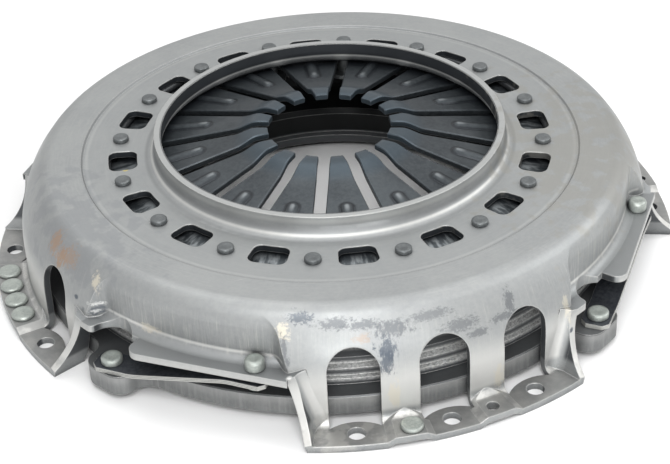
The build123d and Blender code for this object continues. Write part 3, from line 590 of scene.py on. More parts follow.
@dataclass(frozen=True)
class MetalFinish:
    """Bare or plated metal with clouds, specks, scratches, worn edges and painted shade in corners and
    crevices.

    Args:
        name: The material's name.
        tone: Its colour.
        dark: Its darker clouds.
        light: Its paler specks.
        metallic: Share of metal reflection.
        rough_low: Roughness where the clouds are pale.
        rough_high: Roughness where they are dark.
        speck_rough: Roughness that the specks add.
        scratch_rough: Roughness that the scratches take away.
        cloud_size: Size of the clouds.
        speck_size: Size of the specks.
        speck_amount: How much the specks show.
        speck_rise: How far they stand up, beside a scratch's depth.
        scratch_density: How many scratches there are.
        scratch_amount: How much they show.
        edge_width: Reach of wear from an edge.
        edge_tone: Colour of worn edges and scratches.
        edge_amount: How much the wear shows.
        crevice_shade_tone: Colour of the painted shade in corners.
        crevice_shade_amount: How much the painted shade shows.
        crevice_shade_reach: How far the painted shade reaches.
        bump: Strength of the relief.
        bump_depth: Depth of the relief.
        casting: Noise of a casting's grain.
        zones: Places with tones of their own, some of them painted light and shade, one over another.
        stains_and_light: Discoloured places, and places of painted highlight and painted light.
    """

    name: str
    tone: Colour
    dark: Colour
    light: Colour
    metallic: float = 0.7
    rough_low: float = 0.34
    rough_high: float = 0.52
    speck_rough: float = 0.04
    scratch_rough: float = 0.1
    cloud_size: float = 0.035
    speck_size: float = 0.0025
    speck_amount: float = 0.35
    speck_rise: float = 0.5
    scratch_density: float = 0.4
    scratch_amount: float = 0.5
    edge_width: float = 0.0006
    edge_tone: Colour = (0.62, 0.62, 0.6)
    edge_amount: float = 0.6
    crevice_shade_tone: Colour = (0.015, 0.018, 0.024)
    crevice_shade_amount: float = 0.7
    crevice_shade_reach: float = 0.008
    bump: float = 0.12
    bump_depth: float = 0.0004
    casting: Noise | None = None
    zones: tuple[Zone, ...] = ()
    stains_and_light: tuple[Stain, ...] = ()

    def mark(self, tree: Tree, colour: Value) -> Value:
        """Changes the colour by where on the piece it is.

        Args:
            tree: The material's tree.
            colour: The colour so far.

        Returns:
            The changed colour.
        """
        if not self.zones:
            return colour
        surface = Surface(tree)
        for part in self.zones:
            colour = tree.mix(surface.read(part), colour, part.tone)
        return colour

    def lay_stains_and_light(self, tree: Tree, colour: Value) -> Value:
        """Lays the discoloured places, painted highlights and painted light over the colour.

        Args:
            tree: The material's tree.
            colour: The colour so far.

        Returns:
            The changed colour.
        """
        place = tree.place()
        grains = {kind: tree.noise(tree.stretch(place, kind.value[0]), *kind.value[1]) for kind in Grain}
        for spot in self.stains_and_light:
            centre, reach = (tuple(value * MM for value in part) for part in (spot.centre, spot.reach))
            mask = tree.group(Effects.patch(), Centre=centre, Reach=reach, Grain=grains[spot.grain])["Mask"]
            colour = tree.mix(mask * spot.strength, colour, spot.tone)
        return colour

    def build(self) -> bpy.types.Material:
        """Makes the material."""
        material = bpy.data.materials.new(self.name)
        material.use_nodes = True
        tree = Tree(material.node_tree)
        clouds, specks = tree.group(Effects.mottle(), Size=self.cloud_size, Specks=self.speck_size).values()
        lines = tree.group(Effects.scratches(), Density=self.scratch_density)["Mask"]
        worn = tree.group(Effects.edges(), Width=self.edge_width)
        crevice_shade = tree.group(Effects.crevice_shade(), Reach=self.crevice_shade_reach)["Mask"]
        colour = tree.mix(clouds, self.dark, self.tone)
        colour = tree.mix(specks * self.speck_amount, colour, self.light)
        colour = self.mark(tree, colour)
        if self.stains_and_light:
            colour = self.lay_stains_and_light(tree, colour)
        colour = tree.mix(lines * self.scratch_amount, colour, self.edge_tone)
        # Painted shade in corners and crevices.
        colour = tree.mix(crevice_shade * self.crevice_shade_amount, colour, self.crevice_shade_tone)
        colour = tree.mix(worn["Mask"] * self.edge_amount, colour, self.edge_tone)
        rough = clouds.ramp(0.0, 1.0, self.rough_high, self.rough_low)
        height = specks * self.speck_rise - lines
        if self.casting:
            height = height + tree.noise(tree.place(), *self.casting)
        bump = {"Strength": self.bump, "Distance": self.bump_depth, "Height": height}
        normal = tree.get("ShaderNodeBump", {**bump, "Normal": worn["Normal"]})
        looks = {
            "Base Color": colour, "Metallic": self.metallic, "Normal": normal,
            "Roughness": rough + specks * self.speck_rough - lines * self.scratch_rough,
        }
        for name, value in looks.items():
            tree.feed(material.node_tree.nodes["Principled BSDF"].inputs[name], value)
        return material


# Near-black colour of painted shade in hollows and along the crown step.
HOLLOW_SHADE = (0.018, 0.022, 0.028)
# Darker grey for the metal's own patches and streaks, and for painted shade round the collar.
DULL_AND_SHADE = (0.19, 0.197, 0.2)
LEDGE = (0.26, 0.27, 0.272)
FLANGE = (0.37, 0.367, 0.352)
LIGHT = (0.39, 0.395, 0.38)
BRUSHED = (0.48, 0.475, 0.44)
# Pale colour of painted light and painted highlights on the cover.
PALE_HIGHLIGHT = (0.62, 0.62, 0.6)
# Bright colour of painted highlights and painted light on the cover.
BRIGHT_GLINT = (0.66, 0.655, 0.63)

LEVEL = Limit(UP, 0.8, 0.95)
UPWARD = Limit(UP, 0.5, 0.8)
ARCS = Texture((0.06, 1.0, 1.0), (900.0, 2.0, 0.6), (0.45, 0.75))
BRUSH: tuple[Point, Noise] = ((1.0, 0.0, 0.06), (520.0, 4.0, 0.75))
WALL = (Limit(TILT, 0.75, 0.35), Limit(HEIGHT, 0.070, 0.062), Limit(RADIUS, 0.2015, 0.1985, 0.3))
OVER_ANNULUS = Limit(HEIGHT, 0.073, 0.0736)
OVER_FLANGE = Limit(HEIGHT, 0.010, 0.014)
ON_FLANGE = (Limit(HEIGHT, 0.013, 0.009), UPWARD)
PAD_BEND = (Limit(UP, 0.985, 0.95), Limit(UP, 0.35, 0.6), Limit(HEIGHT, 0.019, 0.015))
LOBE_FACE = (Limit(OUT, 0.55, 0.8), Limit(HEIGHT, 0.050, 0.030), OVER_FLANGE, Limit(RADIUS, 0.203, 0.2045))
LEDGE_TOP = (Limit(HEIGHT, 0.0452, 0.0412), UPWARD, Limit(RADIUS, 0.196, 0.198), Limit(HEIGHT, 0.030, 0.035))
LEDGE_ROOT = (Line(HEIGHT, 0.0454, 0.0016), Limit(RADIUS, 0.190, 0.192), Limit(RADIUS, 0.204, 0.202))
NEAR_COLLAR = Limit(RADIUS, 0.124, 0.118)
COLLAR_SIDE = (NEAR_COLLAR, Limit(RADIUS, 0.1137, 0.1147))
IN_BORE = Limit(RADIUS, 0.1116, 0.1112)
WINDOW_WALL = (Limit(HEIGHT, 0.0695, 0.0698), Limit(HEIGHT, 0.0738, 0.0731), Limit(RADIUS, 0.150, 0.149))
INWARD = (Limit(OUT, 0.1, -0.25), Limit(HEIGHT, 0.0695, 0.0675))
ARCH_WALL = (Limit(OUT, 0.5, 0.2), Limit(HEIGHT, 0.060, 0.056), OVER_FLANGE, Limit(RADIUS, 0.2005, 0.2025),
             Limit(TILT, 0.6, 0.35))
# Hollows that get painted shade: the upper bore, the window walls, inward faces and the arches' inner edges.
SHADED_HOLLOWS = Strongest((
    Area(0.9, (IN_BORE, Limit(HEIGHT, 0.0787, 0.0803))), Area(0.92, WINDOW_WALL), Area(0.85, INWARD),
    Area(0.8, ARCH_WALL),
))

COVER_ZONES = (
    zone(LIGHT, 0.2, LEVEL, ARCS),
    zone(LEDGE, 0.28, LEVEL, Limit(RADIUS, 0.164, 0.159)),
    # Painted shade and a painted highlight along the crown step.
    zone(HOLLOW_SHADE, 0.35, Line(RADIUS, 0.1636, 0.0016), OVER_ANNULUS),
    zone(PALE_HIGHLIGHT, 0.14, Line(RADIUS, 0.1606, 0.0018), OVER_ANNULUS),
    zone(BRUSHED, 0.42, *WALL, Texture(*BRUSH, (0.5, 0.66))),
    zone(DULL_AND_SHADE, 0.36, *WALL, Texture(*BRUSH, (0.46, 0.32))),
    zone(FLANGE, 0.9, *ON_FLANGE),
    zone(DULL_AND_SHADE, 0.6, *ON_FLANGE, Clouds()),
    # Painted highlight on the sloped bends between the flange pads.
    zone(BRIGHT_GLINT, 1.0, *PAD_BEND, Clouds(dark=0.7, pale=0.3, steep=(0.2, 0.8))),
    # Painted light on the lower outer walls of the lobes.
    zone(BRIGHT_GLINT, 0.55, *LOBE_FACE),
    zone(LEDGE, 0.8, *LEDGE_TOP),
    # Painted highlight along the root of each ledge.
    zone(PALE_HIGHLIGHT, 0.75, *LEDGE_ROOT),
    # Down the collar's outer side: painted light on its upper part, painted shade in a groove, a painted
    # highlight on the fillet's crest, and painted shade in the trough at its foot.
    zone(PALE_HIGHLIGHT, 0.3, Line(HEIGHT, 0.0852, 0.0036), *COLLAR_SIDE),
    zone(DULL_AND_SHADE, 0.8, Line(HEIGHT, 0.0788, 0.0032), *COLLAR_SIDE),
    zone(BRIGHT_GLINT, 0.5, Line(HEIGHT, 0.0763, 0.0012), *COLLAR_SIDE),
    zone(DULL_AND_SHADE, 0.6, Line(RADIUS, 0.1213, 0.0022), OVER_ANNULUS),
    # Painted highlight on the collar's lip, and painted light on the lower band inside its bore.
    zone(PALE_HIGHLIGHT, 0.2, NEAR_COLLAR, Limit(HEIGHT, 0.0876, 0.0880)),
    zone(PALE_HIGHLIGHT, 0.8, IN_BORE, Limit(HEIGHT, 0.0803, 0.0787)),
    # Painted shade in the hollows.
    zone(HOLLOW_SHADE, 1.0, SHADED_HOLLOWS),
)

# The rim's turning marks, and a painted highlight towards its top.
RIM_MARK_AND_SHEEN = (0.36, 0.362, 0.354)
# Dark oil, together with painted shade on the plate under the cover.
OIL_AND_SHADE = (0.08, 0.084, 0.088)
# Near-black colour of painted shade in the hub.
HUB_SHADE = (0.002, 0.003, 0.003)
TURNED = (0.09, 0.095, 0.1)
# Colour of the painted highlight on the ridges of the spring seat.
RIDGE_GLINT = (0.78, 0.785, 0.77)

RIM = Limit(TILT, 0.5, 0.3)
STEP = (Limit(RADIUS, 0.125, 0.120), Limit(HEIGHT, 0.0108, 0.0114))
INSIDE = Strongest((Limit(HEIGHT, 0.0171, 0.0177), Area(1.0, STEP)))
RIDGE_PLACES = ((HEIGHT, 0.0222), (HEIGHT, 0.0292), (RADIUS, 0.1775), (RADIUS, 0.1705))
RIDGES = Strongest(tuple(Line(axis, at, half=0.0034, core=0.0003) for axis, at in RIDGE_PLACES))
DOTS = Texture((1.0, 1.4, 1.6), (620.0, 3.0, 0.7), (0.26, 0.7, 0.25, 0.95))
SEAT = (Limit(RADIUS, 0.166, 0.168), Limit(RADIUS, 0.1985, 0.1955), Limit(HEIGHT, 0.0193, 0.0203))

PLATE_ZONES = (
    zone(RIM_MARK_AND_SHEEN, 0.28, RIM, Texture((1.0, 0.0, 0.05), (420.0, 3.0, 0.6), (0.4, 0.75))),
    # Painted highlight: the rim is paler towards its top.
    zone(RIM_MARK_AND_SHEEN, 0.4, RIM, Limit(HEIGHT, 0.0093, 0.0173)),
    # Dark oil and painted shade over the plate's upper faces, strongest under the cover.
    zone(OIL_AND_SHADE, 1.0, INSIDE, Limit(RADIUS, 0.1945, 0.2025, 0.94, 0.72)),
    # Painted shade in the hub under the spring.
    zone(HUB_SHADE, 0.93, Limit(RADIUS, 0.160, 0.150)),
    zone(TURNED, 0.9, Limit(RADIUS, 0.1195, 0.119), Limit(HEIGHT, 0.014, 0.013)),
    # Painted highlights along the ridges, seen through the arches.
    zone(RIDGE_GLINT, 0.85, RIDGES, DOTS, *SEAT),
)

SHEARED = (0.5, 0.5, 0.47)
STRAP_ZONES = (zone(SHEARED, 0.85, Limit(TILT, 0.75, 0.4)),)


@dataclass(frozen=True)
class Rib:
    """Sizes of the pressed rib on a finger.

    Args:
        start: Inner end of its crest.
        stop: Outer end of its crest.
        reach: Half its width.
        height: Its height over the cone.
    """

    start: float = 0.0868
    stop: float = 0.1147
    reach: float = 0.0042
    height: float = 0.0020


@dataclass(frozen=True)
class SpringFinish(MetalFinish):
    """Blued spring steel with painted shade round each rib, painted highlights on the crests, a barer rim and
    bluer tips.

    Args:
        rib: Sizes of the ribs.
        rib_shade: Colour of the painted shade round the ribs.
        rib_shade_line: Middle, half width and core of that line, in shares of a rib's reach.
        rib_shade_amount: How much it shows.
        bare_and_glint: Colour of the barer rim, and of the painted highlight on the ribs' crests.
        crest: Distances between which the crest's painted highlight fades in, in shares of a rib's reach.
        crest_from: Distances past a rib's start between which it grows.
        crest_amounts: How much of it shows along the rib, and at its start.
        bare: The barer patches.
        bare_from: Where the rim gets barer, and how much.
        blue: Colour of the tips.
        blue_from: Where the tips turn blue, and how much.
    """

    rib: Rib = Rib()
    rib_shade: Colour = (0.008, 0.010, 0.013)
    rib_shade_line: tuple[float, float, float] = (1.05, 0.42, 0.1)
    rib_shade_amount: float = 0.75
    bare_and_glint: Colour = (0.26, 0.28, 0.29)
    crest: Span = (0.55, 0.1)
    crest_from: Span = (0.006, 0.0005)
    crest_amounts: Span = (0.05, 0.6)
    bare: Mask = Texture((1.0, 0.5, 0.5), (150.0, 3.0, 0.6), (0.42, 0.62))
    bare_from: Mask = Limit(RADIUS, 0.124, 0.130, most=0.75)
    blue: Colour = (0.045, 0.064, 0.08)
    blue_from: Mask = Limit(RADIUS, 0.066, 0.054, most=0.65)

    def mark(self, tree: Tree, colour: Value) -> Value:
        """Paints shade round the ribs and highlights on their crests, and marks the rim and the tips.

        Args:
            tree: The material's tree.
            colour: The colour so far.

        Returns:
            The changed colour.
        """
        surface = Surface(tree)
        radius = surface.values[RADIUS]
        share = tree.maths("FRACT", surface.turn * FINGER_COUNT)
        off = (share - 0.5) * (math.tau / FINGER_COUNT) * radius
        past = (self.rib.start - radius) | (radius - self.rib.stop) | 0.0
        away = tree.maths("SQRT", off * off + past * past) / self.rib.reach
        grown = radius.ramp(*(self.rib.start + value for value in self.crest_from), *self.crest_amounts)
        # Painted shade round each rib, then a painted highlight along its crest.
        colour = tree.mix(away.line(*self.rib_shade_line) * self.rib_shade_amount, colour, self.rib_shade)
        colour = tree.mix(away.ramp(*self.crest) * grown, colour, self.bare_and_glint)
        colour = tree.mix(surface.read(self.bare) * surface.read(self.bare_from), colour, self.bare_and_glint)
        return tree.mix(surface.read(self.blue_from), colour, self.blue)


SCUFF = (0.125, 0.133, 0.142)
BLUE_SCUFF = (0.078, 0.092, 0.112)
GLINT = (0.85, 0.85, 0.83)
CREAM = (0.56, 0.52, 0.43)
RUST = (0.33, 0.215, 0.14)

# Rust, scuffs and discoloured places on the cover, with a few painted highlights and painted light.
COVER_STAINS_AND_LIGHT = (
    Stain((150.0, -80.0, 74.0), (75.0, 95.0, 26.0), (0.265, 0.258, 0.232), 0.5, Grain.SOFT),
    Stain((-182.0, -40.0, 70.0), (35.0, 75.0, 20.0), (0.2, 0.21, 0.225), 0.38, Grain.SOFT),
    # Painted light on the front-left flange pad.
    Stain((-66.0, -208.0, 5.0), (22.0, 18.0, 6.0), (0.52, 0.51, 0.485), 0.5, Grain.SOFT),
    Stain((-76.9, -177.2, 70.7), (9.0, 9.0, 3.2), BLUE_SCUFF, 0.75),
    Stain((-58.8, -185.6, 68.0), (13.0, 9.0, 3.5), SCUFF, 0.75),
    Stain((-44.5, -191.2, 66.6), (13.0, 9.0, 3.2), SCUFF, 0.75),
    Stain((-28.2, -196.3, 63.0), (14.0, 9.0, 5.0), SCUFF, 0.8, Grain.SMEARED),
    Stain((-33.0, -200.0, 53.0), (6.5, 9.0, 8.0), BLUE_SCUFF, 0.85, Grain.SMEARED),
    Stain((-45.9, -194.6, 60.0), (6.0, 9.0, 3.0), RUST, 0.35),
    Stain((-34.2, -203.0, 45.5), (5.0, 9.0, 9.0), BLUE_SCUFF, 0.85, Grain.SMEARED),
    Stain((-5.0, -196.4, 66.4), (16.0, 9.0, 3.2), SCUFF, 0.6),
    Stain((11.6, -201.1, 58.0), (13.0, 9.0, 4.5), SCUFF, 0.65),
    Stain((22.6, -203.0, 51.2), (8.0, 9.0, 3.0), SCUFF, 0.7),
    Stain((44.9, -194.7, 61.1), (4.0, 9.0, 9.0), SCUFF, 0.75, Grain.SMEARED),
    Stain((39.0, -199.2, 55.0), (10.0, 9.0, 2.6), SCUFF, 0.7),
    Stain((-31.1, -205.4, 22.0), (5.0, 8.0, 10.0), CREAM, 0.6, Grain.SMEARED),
    Stain((34.9, -204.7, 16.0), (4.5, 8.0, 10.0), CREAM, 0.6, Grain.SMEARED),
    Stain((-87.7, -176.2, 64.0), (4.0, 8.0, 6.0), CREAM, 0.75),
    Stain((-88.7, -181.0, 54.0), (2.0, 9.0, 12.0), SCUFF, 0.7, Grain.SMEARED),
    Stain((-191.5, -40.0, 66.0), (9.0, 7.0, 9.0), RUST, 0.7, Grain.SMEARED),
    Stain((-190.5, -52.0, 62.0), (8.0, 7.0, 8.0), RUST, 0.75, Grain.SMEARED),
    Stain((-186.0, -60.0, 66.0), (9.0, 9.0, 7.0), RUST, 0.5),
    Stain((-176.5, -87.2, 62.0), (4.0, 4.0, 10.0), CREAM, 0.8, Grain.SMEARED),
    Stain((-189.2, -78.4, 49.5), (2.2, 2.2, 2.2), BLUE_SCUFF, 0.9, Grain.SOFT),
    Stain((-177.7, -91.5, 46.0), (8.0, 7.0, 3.5), BLUE_SCUFF, 0.7, Grain.SOFT),
    Stain((-154.1, -121.1, 46.0), (9.0, 9.0, 3.0), CREAM, 0.6),
    # Painted highlights on the fold at the left lobe's crest and on a curl of the sheet.
    Stain((-178.0, -88.0, 50.0), (7.0, 7.0, 1.6), GLINT, 0.6),
    Stain((-181.5, -92.5, 44.5), (5.0, 5.0, 1.8), GLINT, 0.6),
    Stain((-89.6, -192.5, 41.4), (3.0, 4.0, 5.0), GLINT, 0.9, Grain.SOFT),
    Stain((-87.0, -197.0, 33.0), (3.0, 4.0, 4.0), BLUE_SCUFF, 0.7, Grain.SOFT),
    Stain((-134.8, 14.7, 74.0), (2.2, 1.6, 1.6), (0.55, 0.45, 0.1), 0.8, Grain.SOFT),
    Stain((84.5, -189.0, 42.5), (2.5, 8.0, 12.0), CREAM, 0.6, Grain.SMEARED),
    Stain((85.5, -195.0, 29.0), (2.0, 3.0, 2.0), BLUE_SCUFF, 0.9, Grain.SOFT),
)


class Finishes:
    """Every finish of the assembly."""

    cover = MetalFinish(
        "pressed_cover_steel", tone=(0.30, 0.31, 0.31), dark=(0.262, 0.272, 0.275), light=(0.39, 0.395, 0.38),
        rough_low=0.43, rough_high=0.50, cloud_size=0.06, speck_amount=0.2, edge_width=0.0011,
        edge_amount=0.5, crevice_shade_amount=0.75, crevice_shade_reach=0.007, bump=0.06, zones=COVER_ZONES,
        stains_and_light=COVER_STAINS_AND_LIGHT,
    )
    spring = SpringFinish(
        "blued_spring_steel", tone=(0.044, 0.052, 0.058), dark=(0.024, 0.029, 0.034),
        light=(0.075, 0.085, 0.09), metallic=0.6, rough_low=0.36, rough_high=0.46, cloud_size=0.05,
        edge_tone=(0.16, 0.18, 0.2), edge_amount=0.45, bump=0.08,
    )
    plate = MetalFinish(
        "turned_cast_iron", tone=(0.175, 0.182, 0.182), dark=(0.14, 0.146, 0.148), light=(0.22, 0.22, 0.215),
        metallic=0.6, rough_low=0.45, rough_high=0.55, cloud_size=0.02, speck_size=0.0015,
        casting=(700.0, 3.0, 0.7), zones=PLATE_ZONES,
    )
    zinc = MetalFinish(
        "zinc_rivet_heads", tone=(0.34, 0.37, 0.345), dark=(0.25, 0.275, 0.26), light=(0.5, 0.52, 0.48),
        rough_low=0.34, rough_high=0.5, cloud_size=0.008, speck_size=0.0012, crevice_shade_reach=0.003,
    )
    pivot = MetalFinish(
        "pivot_rivet_steel", tone=(0.13, 0.14, 0.143), dark=(0.085, 0.092, 0.096), light=(0.2, 0.21, 0.21),
        rough_low=0.36, rough_high=0.5, cloud_size=0.006, speck_size=0.001, edge_tone=(0.26, 0.28, 0.28),
        edge_amount=0.4, crevice_shade_reach=0.003,
    )
    strap = MetalFinish(
        "rolled_strap_strip", tone=(0.045, 0.05, 0.06), dark=(0.022, 0.026, 0.034), light=(0.1, 0.105, 0.11),
        metallic=0.6, rough_low=0.34, rough_high=0.46, cloud_size=0.02, edge_tone=(0.6, 0.6, 0.57),
        edge_amount=0.85, edge_width=0.0004, crevice_shade_amount=0.35, crevice_shade_reach=0.004, zones=STRAP_ZONES,
    )
    wire = MetalFinish(
        "drawn_ring_wire", tone=(0.1, 0.105, 0.11), dark=(0.05, 0.055, 0.06), light=(0.2, 0.2, 0.2),
    )


# ---- Dressing and mesh building -------------------------------------------------------------------------
def dress(piece: bpy.types.Object, material: bpy.types.Material) -> None:
    """Gives a piece one material in every slot.

    Args:
        piece: The piece.
        material: Its finish.
    """
    for slot in piece.material_slots:
        slot.material = material
    if not piece.material_slots:
        piece.data.materials.append(material)


def smooth_mesh(mesh: bpy.types.Mesh, sharp_deg: float = 38.0) -> None:
    """Shades a mesh smooth, apart from its sharp edges.

    Args:
        mesh: The mesh.
        sharp_deg: Angle from which an edge stays sharp.
    """
    mesh.polygons.foreach_set("use_smooth", [True] * len(mesh.polygons))
    mesh.set_sharp_from_angle(angle=math.radians(sharp_deg))
    mesh.update()


def mesh_from(name: str, rows: Iterable[Sequence[Point]], faces: Iterable[Sequence[int]]) -> bpy.types.Mesh:
    """Closed mesh with its doubles merged and its faces turned outwards.

    Args:
        name: The mesh's name.
        rows: Rows of corners.
        faces: Corner numbers of each face, counted through all the rows.

    Returns:
        The mesh.
    """
    mesh = bpy.data.meshes.new(name)
    mesh.from_pydata([point for row in rows for point in row], [], list(faces))
    work = bmesh.new()
    work.from_mesh(mesh)
    bmesh.ops.remove_doubles(work, verts=work.verts, dist=1e-6)
    bmesh.ops.dissolve_degenerate(work, dist=1e-7, edges=work.edges)
    bmesh.ops.recalc_face_normals(work, faces=work.faces)
    work.to_mesh(mesh)
    work.free()
    return mesh


def numbered(rows: Sequence[Sequence[Point]]) -> list[range]:
    """Corner numbers of rows that all have the same count."""
    count = len(rows[0])
    return [range(k * count, (k + 1) * count) for k in range(len(rows))]


def band(here: range, there: range, skip: Sequence[int] = ()) -> list[tuple[int, ...]]:
    """Faces between two closed rows of corners.

    Args:
        here: Corner numbers of one row.
        there: Corner numbers of the next.
        skip: Places in the row where no face goes.

    Returns:
        Corner numbers of each face.
    """
    count = len(here)
    pairs = [(j, (j + 1) % count) for j in range(count) if j not in skip]
    return [(here[j], here[after], there[after], there[j]) for j, after in pairs]


def lathe(name: str, outline: Sequence[Span], steps: int = 40) -> bpy.types.Mesh:
    """Turned solid from an (r, z) outline that starts and ends on its own axis.

    Args:
        name: The mesh's name.
        outline: Points from the bottom to the top.
        steps: Divisions round the axis.

    Returns:
        The mesh.
    """
    turns = [math.tau * k / steps for k in range(steps)]
    rows = [[(r * math.cos(turn), r * math.sin(turn), z) for r, z in outline] for turn in turns]
    numbers = numbered(rows)
    faces = []
    for here, there in zip(numbers, numbers[1:] + numbers[:1]):
        faces += [(here[j], there[j], there[j + 1], here[j + 1]) for j in range(len(outline) - 1)]
    return mesh_from(name, rows, faces)


def add_piece(name: str, mesh: bpy.types.Mesh) -> bpy.types.Object:
    """Puts a mesh in the scene as a piece at the origin."""
    piece = bpy.data.objects.new(name, mesh)
    bpy.context.scene.collection.objects.link(piece)
    return piece


class Ring:
    """Geometry Nodes tree that sets copies of a mesh round the clutch axis."""

    INPUTS = {"Geometry": "Geometry", "Count": "Int", "Radius": "Float", "First angle": "Float",
              "Pitch": "Float", "Weld": "Float", "Material": "Material"}

    @staticmethod
    @cache
    def tree() -> bpy.types.NodeTree:
        """The tree, built once, with the copies' count, circle, angles, weld and material as its inputs."""
        group = bpy.data.node_groups.new("Set round the axis", "GeometryNodeTree")
        for label, kind in Ring.INPUTS.items():
            group.interface.new_socket(label, in_out="INPUT", socket_type="NodeSocket" + kind)
        group.interface.new_socket("Geometry", in_out="OUTPUT", socket_type="NodeSocketGeometry")
        tree = Tree(group)
        ins = tree.every("NodeGroupInput")
        turn = tree.get("GeometryNodeInputIndex") * ins["Pitch"] + ins["First angle"]
        across, along = (tree.maths(kind, turn) * ins["Radius"] for kind in ("COSINE", "SINE"))
        seat = tree.get("ShaderNodeCombineXYZ", {0: across, 1: along})
        seats = tree.get("GeometryNodePoints", {"Count": ins["Count"], "Position": seat})
        facing = tree.get("FunctionNodeAxisAngleToRotation", {"Axis": (0, 0, 1), "Angle": turn})
        parts = {"Points": seats, "Instance": ins["Geometry"], "Rotation": facing}
        copies = tree.get("GeometryNodeInstanceOnPoints", parts)
        real = tree.get("GeometryNodeRealizeInstances", {"Geometry": copies})
        welded = tree.get("GeometryNodeMergeByDistance", {"Geometry": real, "Distance": ins["Weld"]})
        done = tree.get("GeometryNodeSetMaterial", {"Geometry": welded, "Material": ins["Material"]})
        tree.add("NodeGroupOutput", {"Geometry": done})
        return group

    @staticmethod
    def place(name: str, single: bpy.types.Mesh, material: bpy.types.Material,
              **sizes: float) -> bpy.types.Object:
        """Sets copies of a mesh round the axis as one piece.

        Args:
            name: The piece's name.
            single: The mesh to copy, built at the axis.
            material: Its finish.
            sizes: Values for the tree's inputs, with spaces written as underscores.

        Returns:
            The piece, with its mesh made plain.
        """
        piece = add_piece(name, single)
        modifier = piece.modifiers.new("ring", "NODES")
        modifier.node_group = Ring.tree()
        values = {key.replace("_", " ").capitalize(): value for key, value in sizes.items()}
        values["Material"] = material
        for item in modifier.node_group.interface.items_tree:
            if item.in_out == "INPUT" and item.name in values:
                modifier[item.identifier] = values[item.name]
        bpy.context.view_layer.update()
        ready = piece.evaluated_get(bpy.context.evaluated_depsgraph_get())
        mesh = bpy.data.meshes.new_from_object(ready)
        piece.modifiers.clear()
        piece.data = mesh
        mesh.name = name
        smooth_mesh(mesh)
        return piece


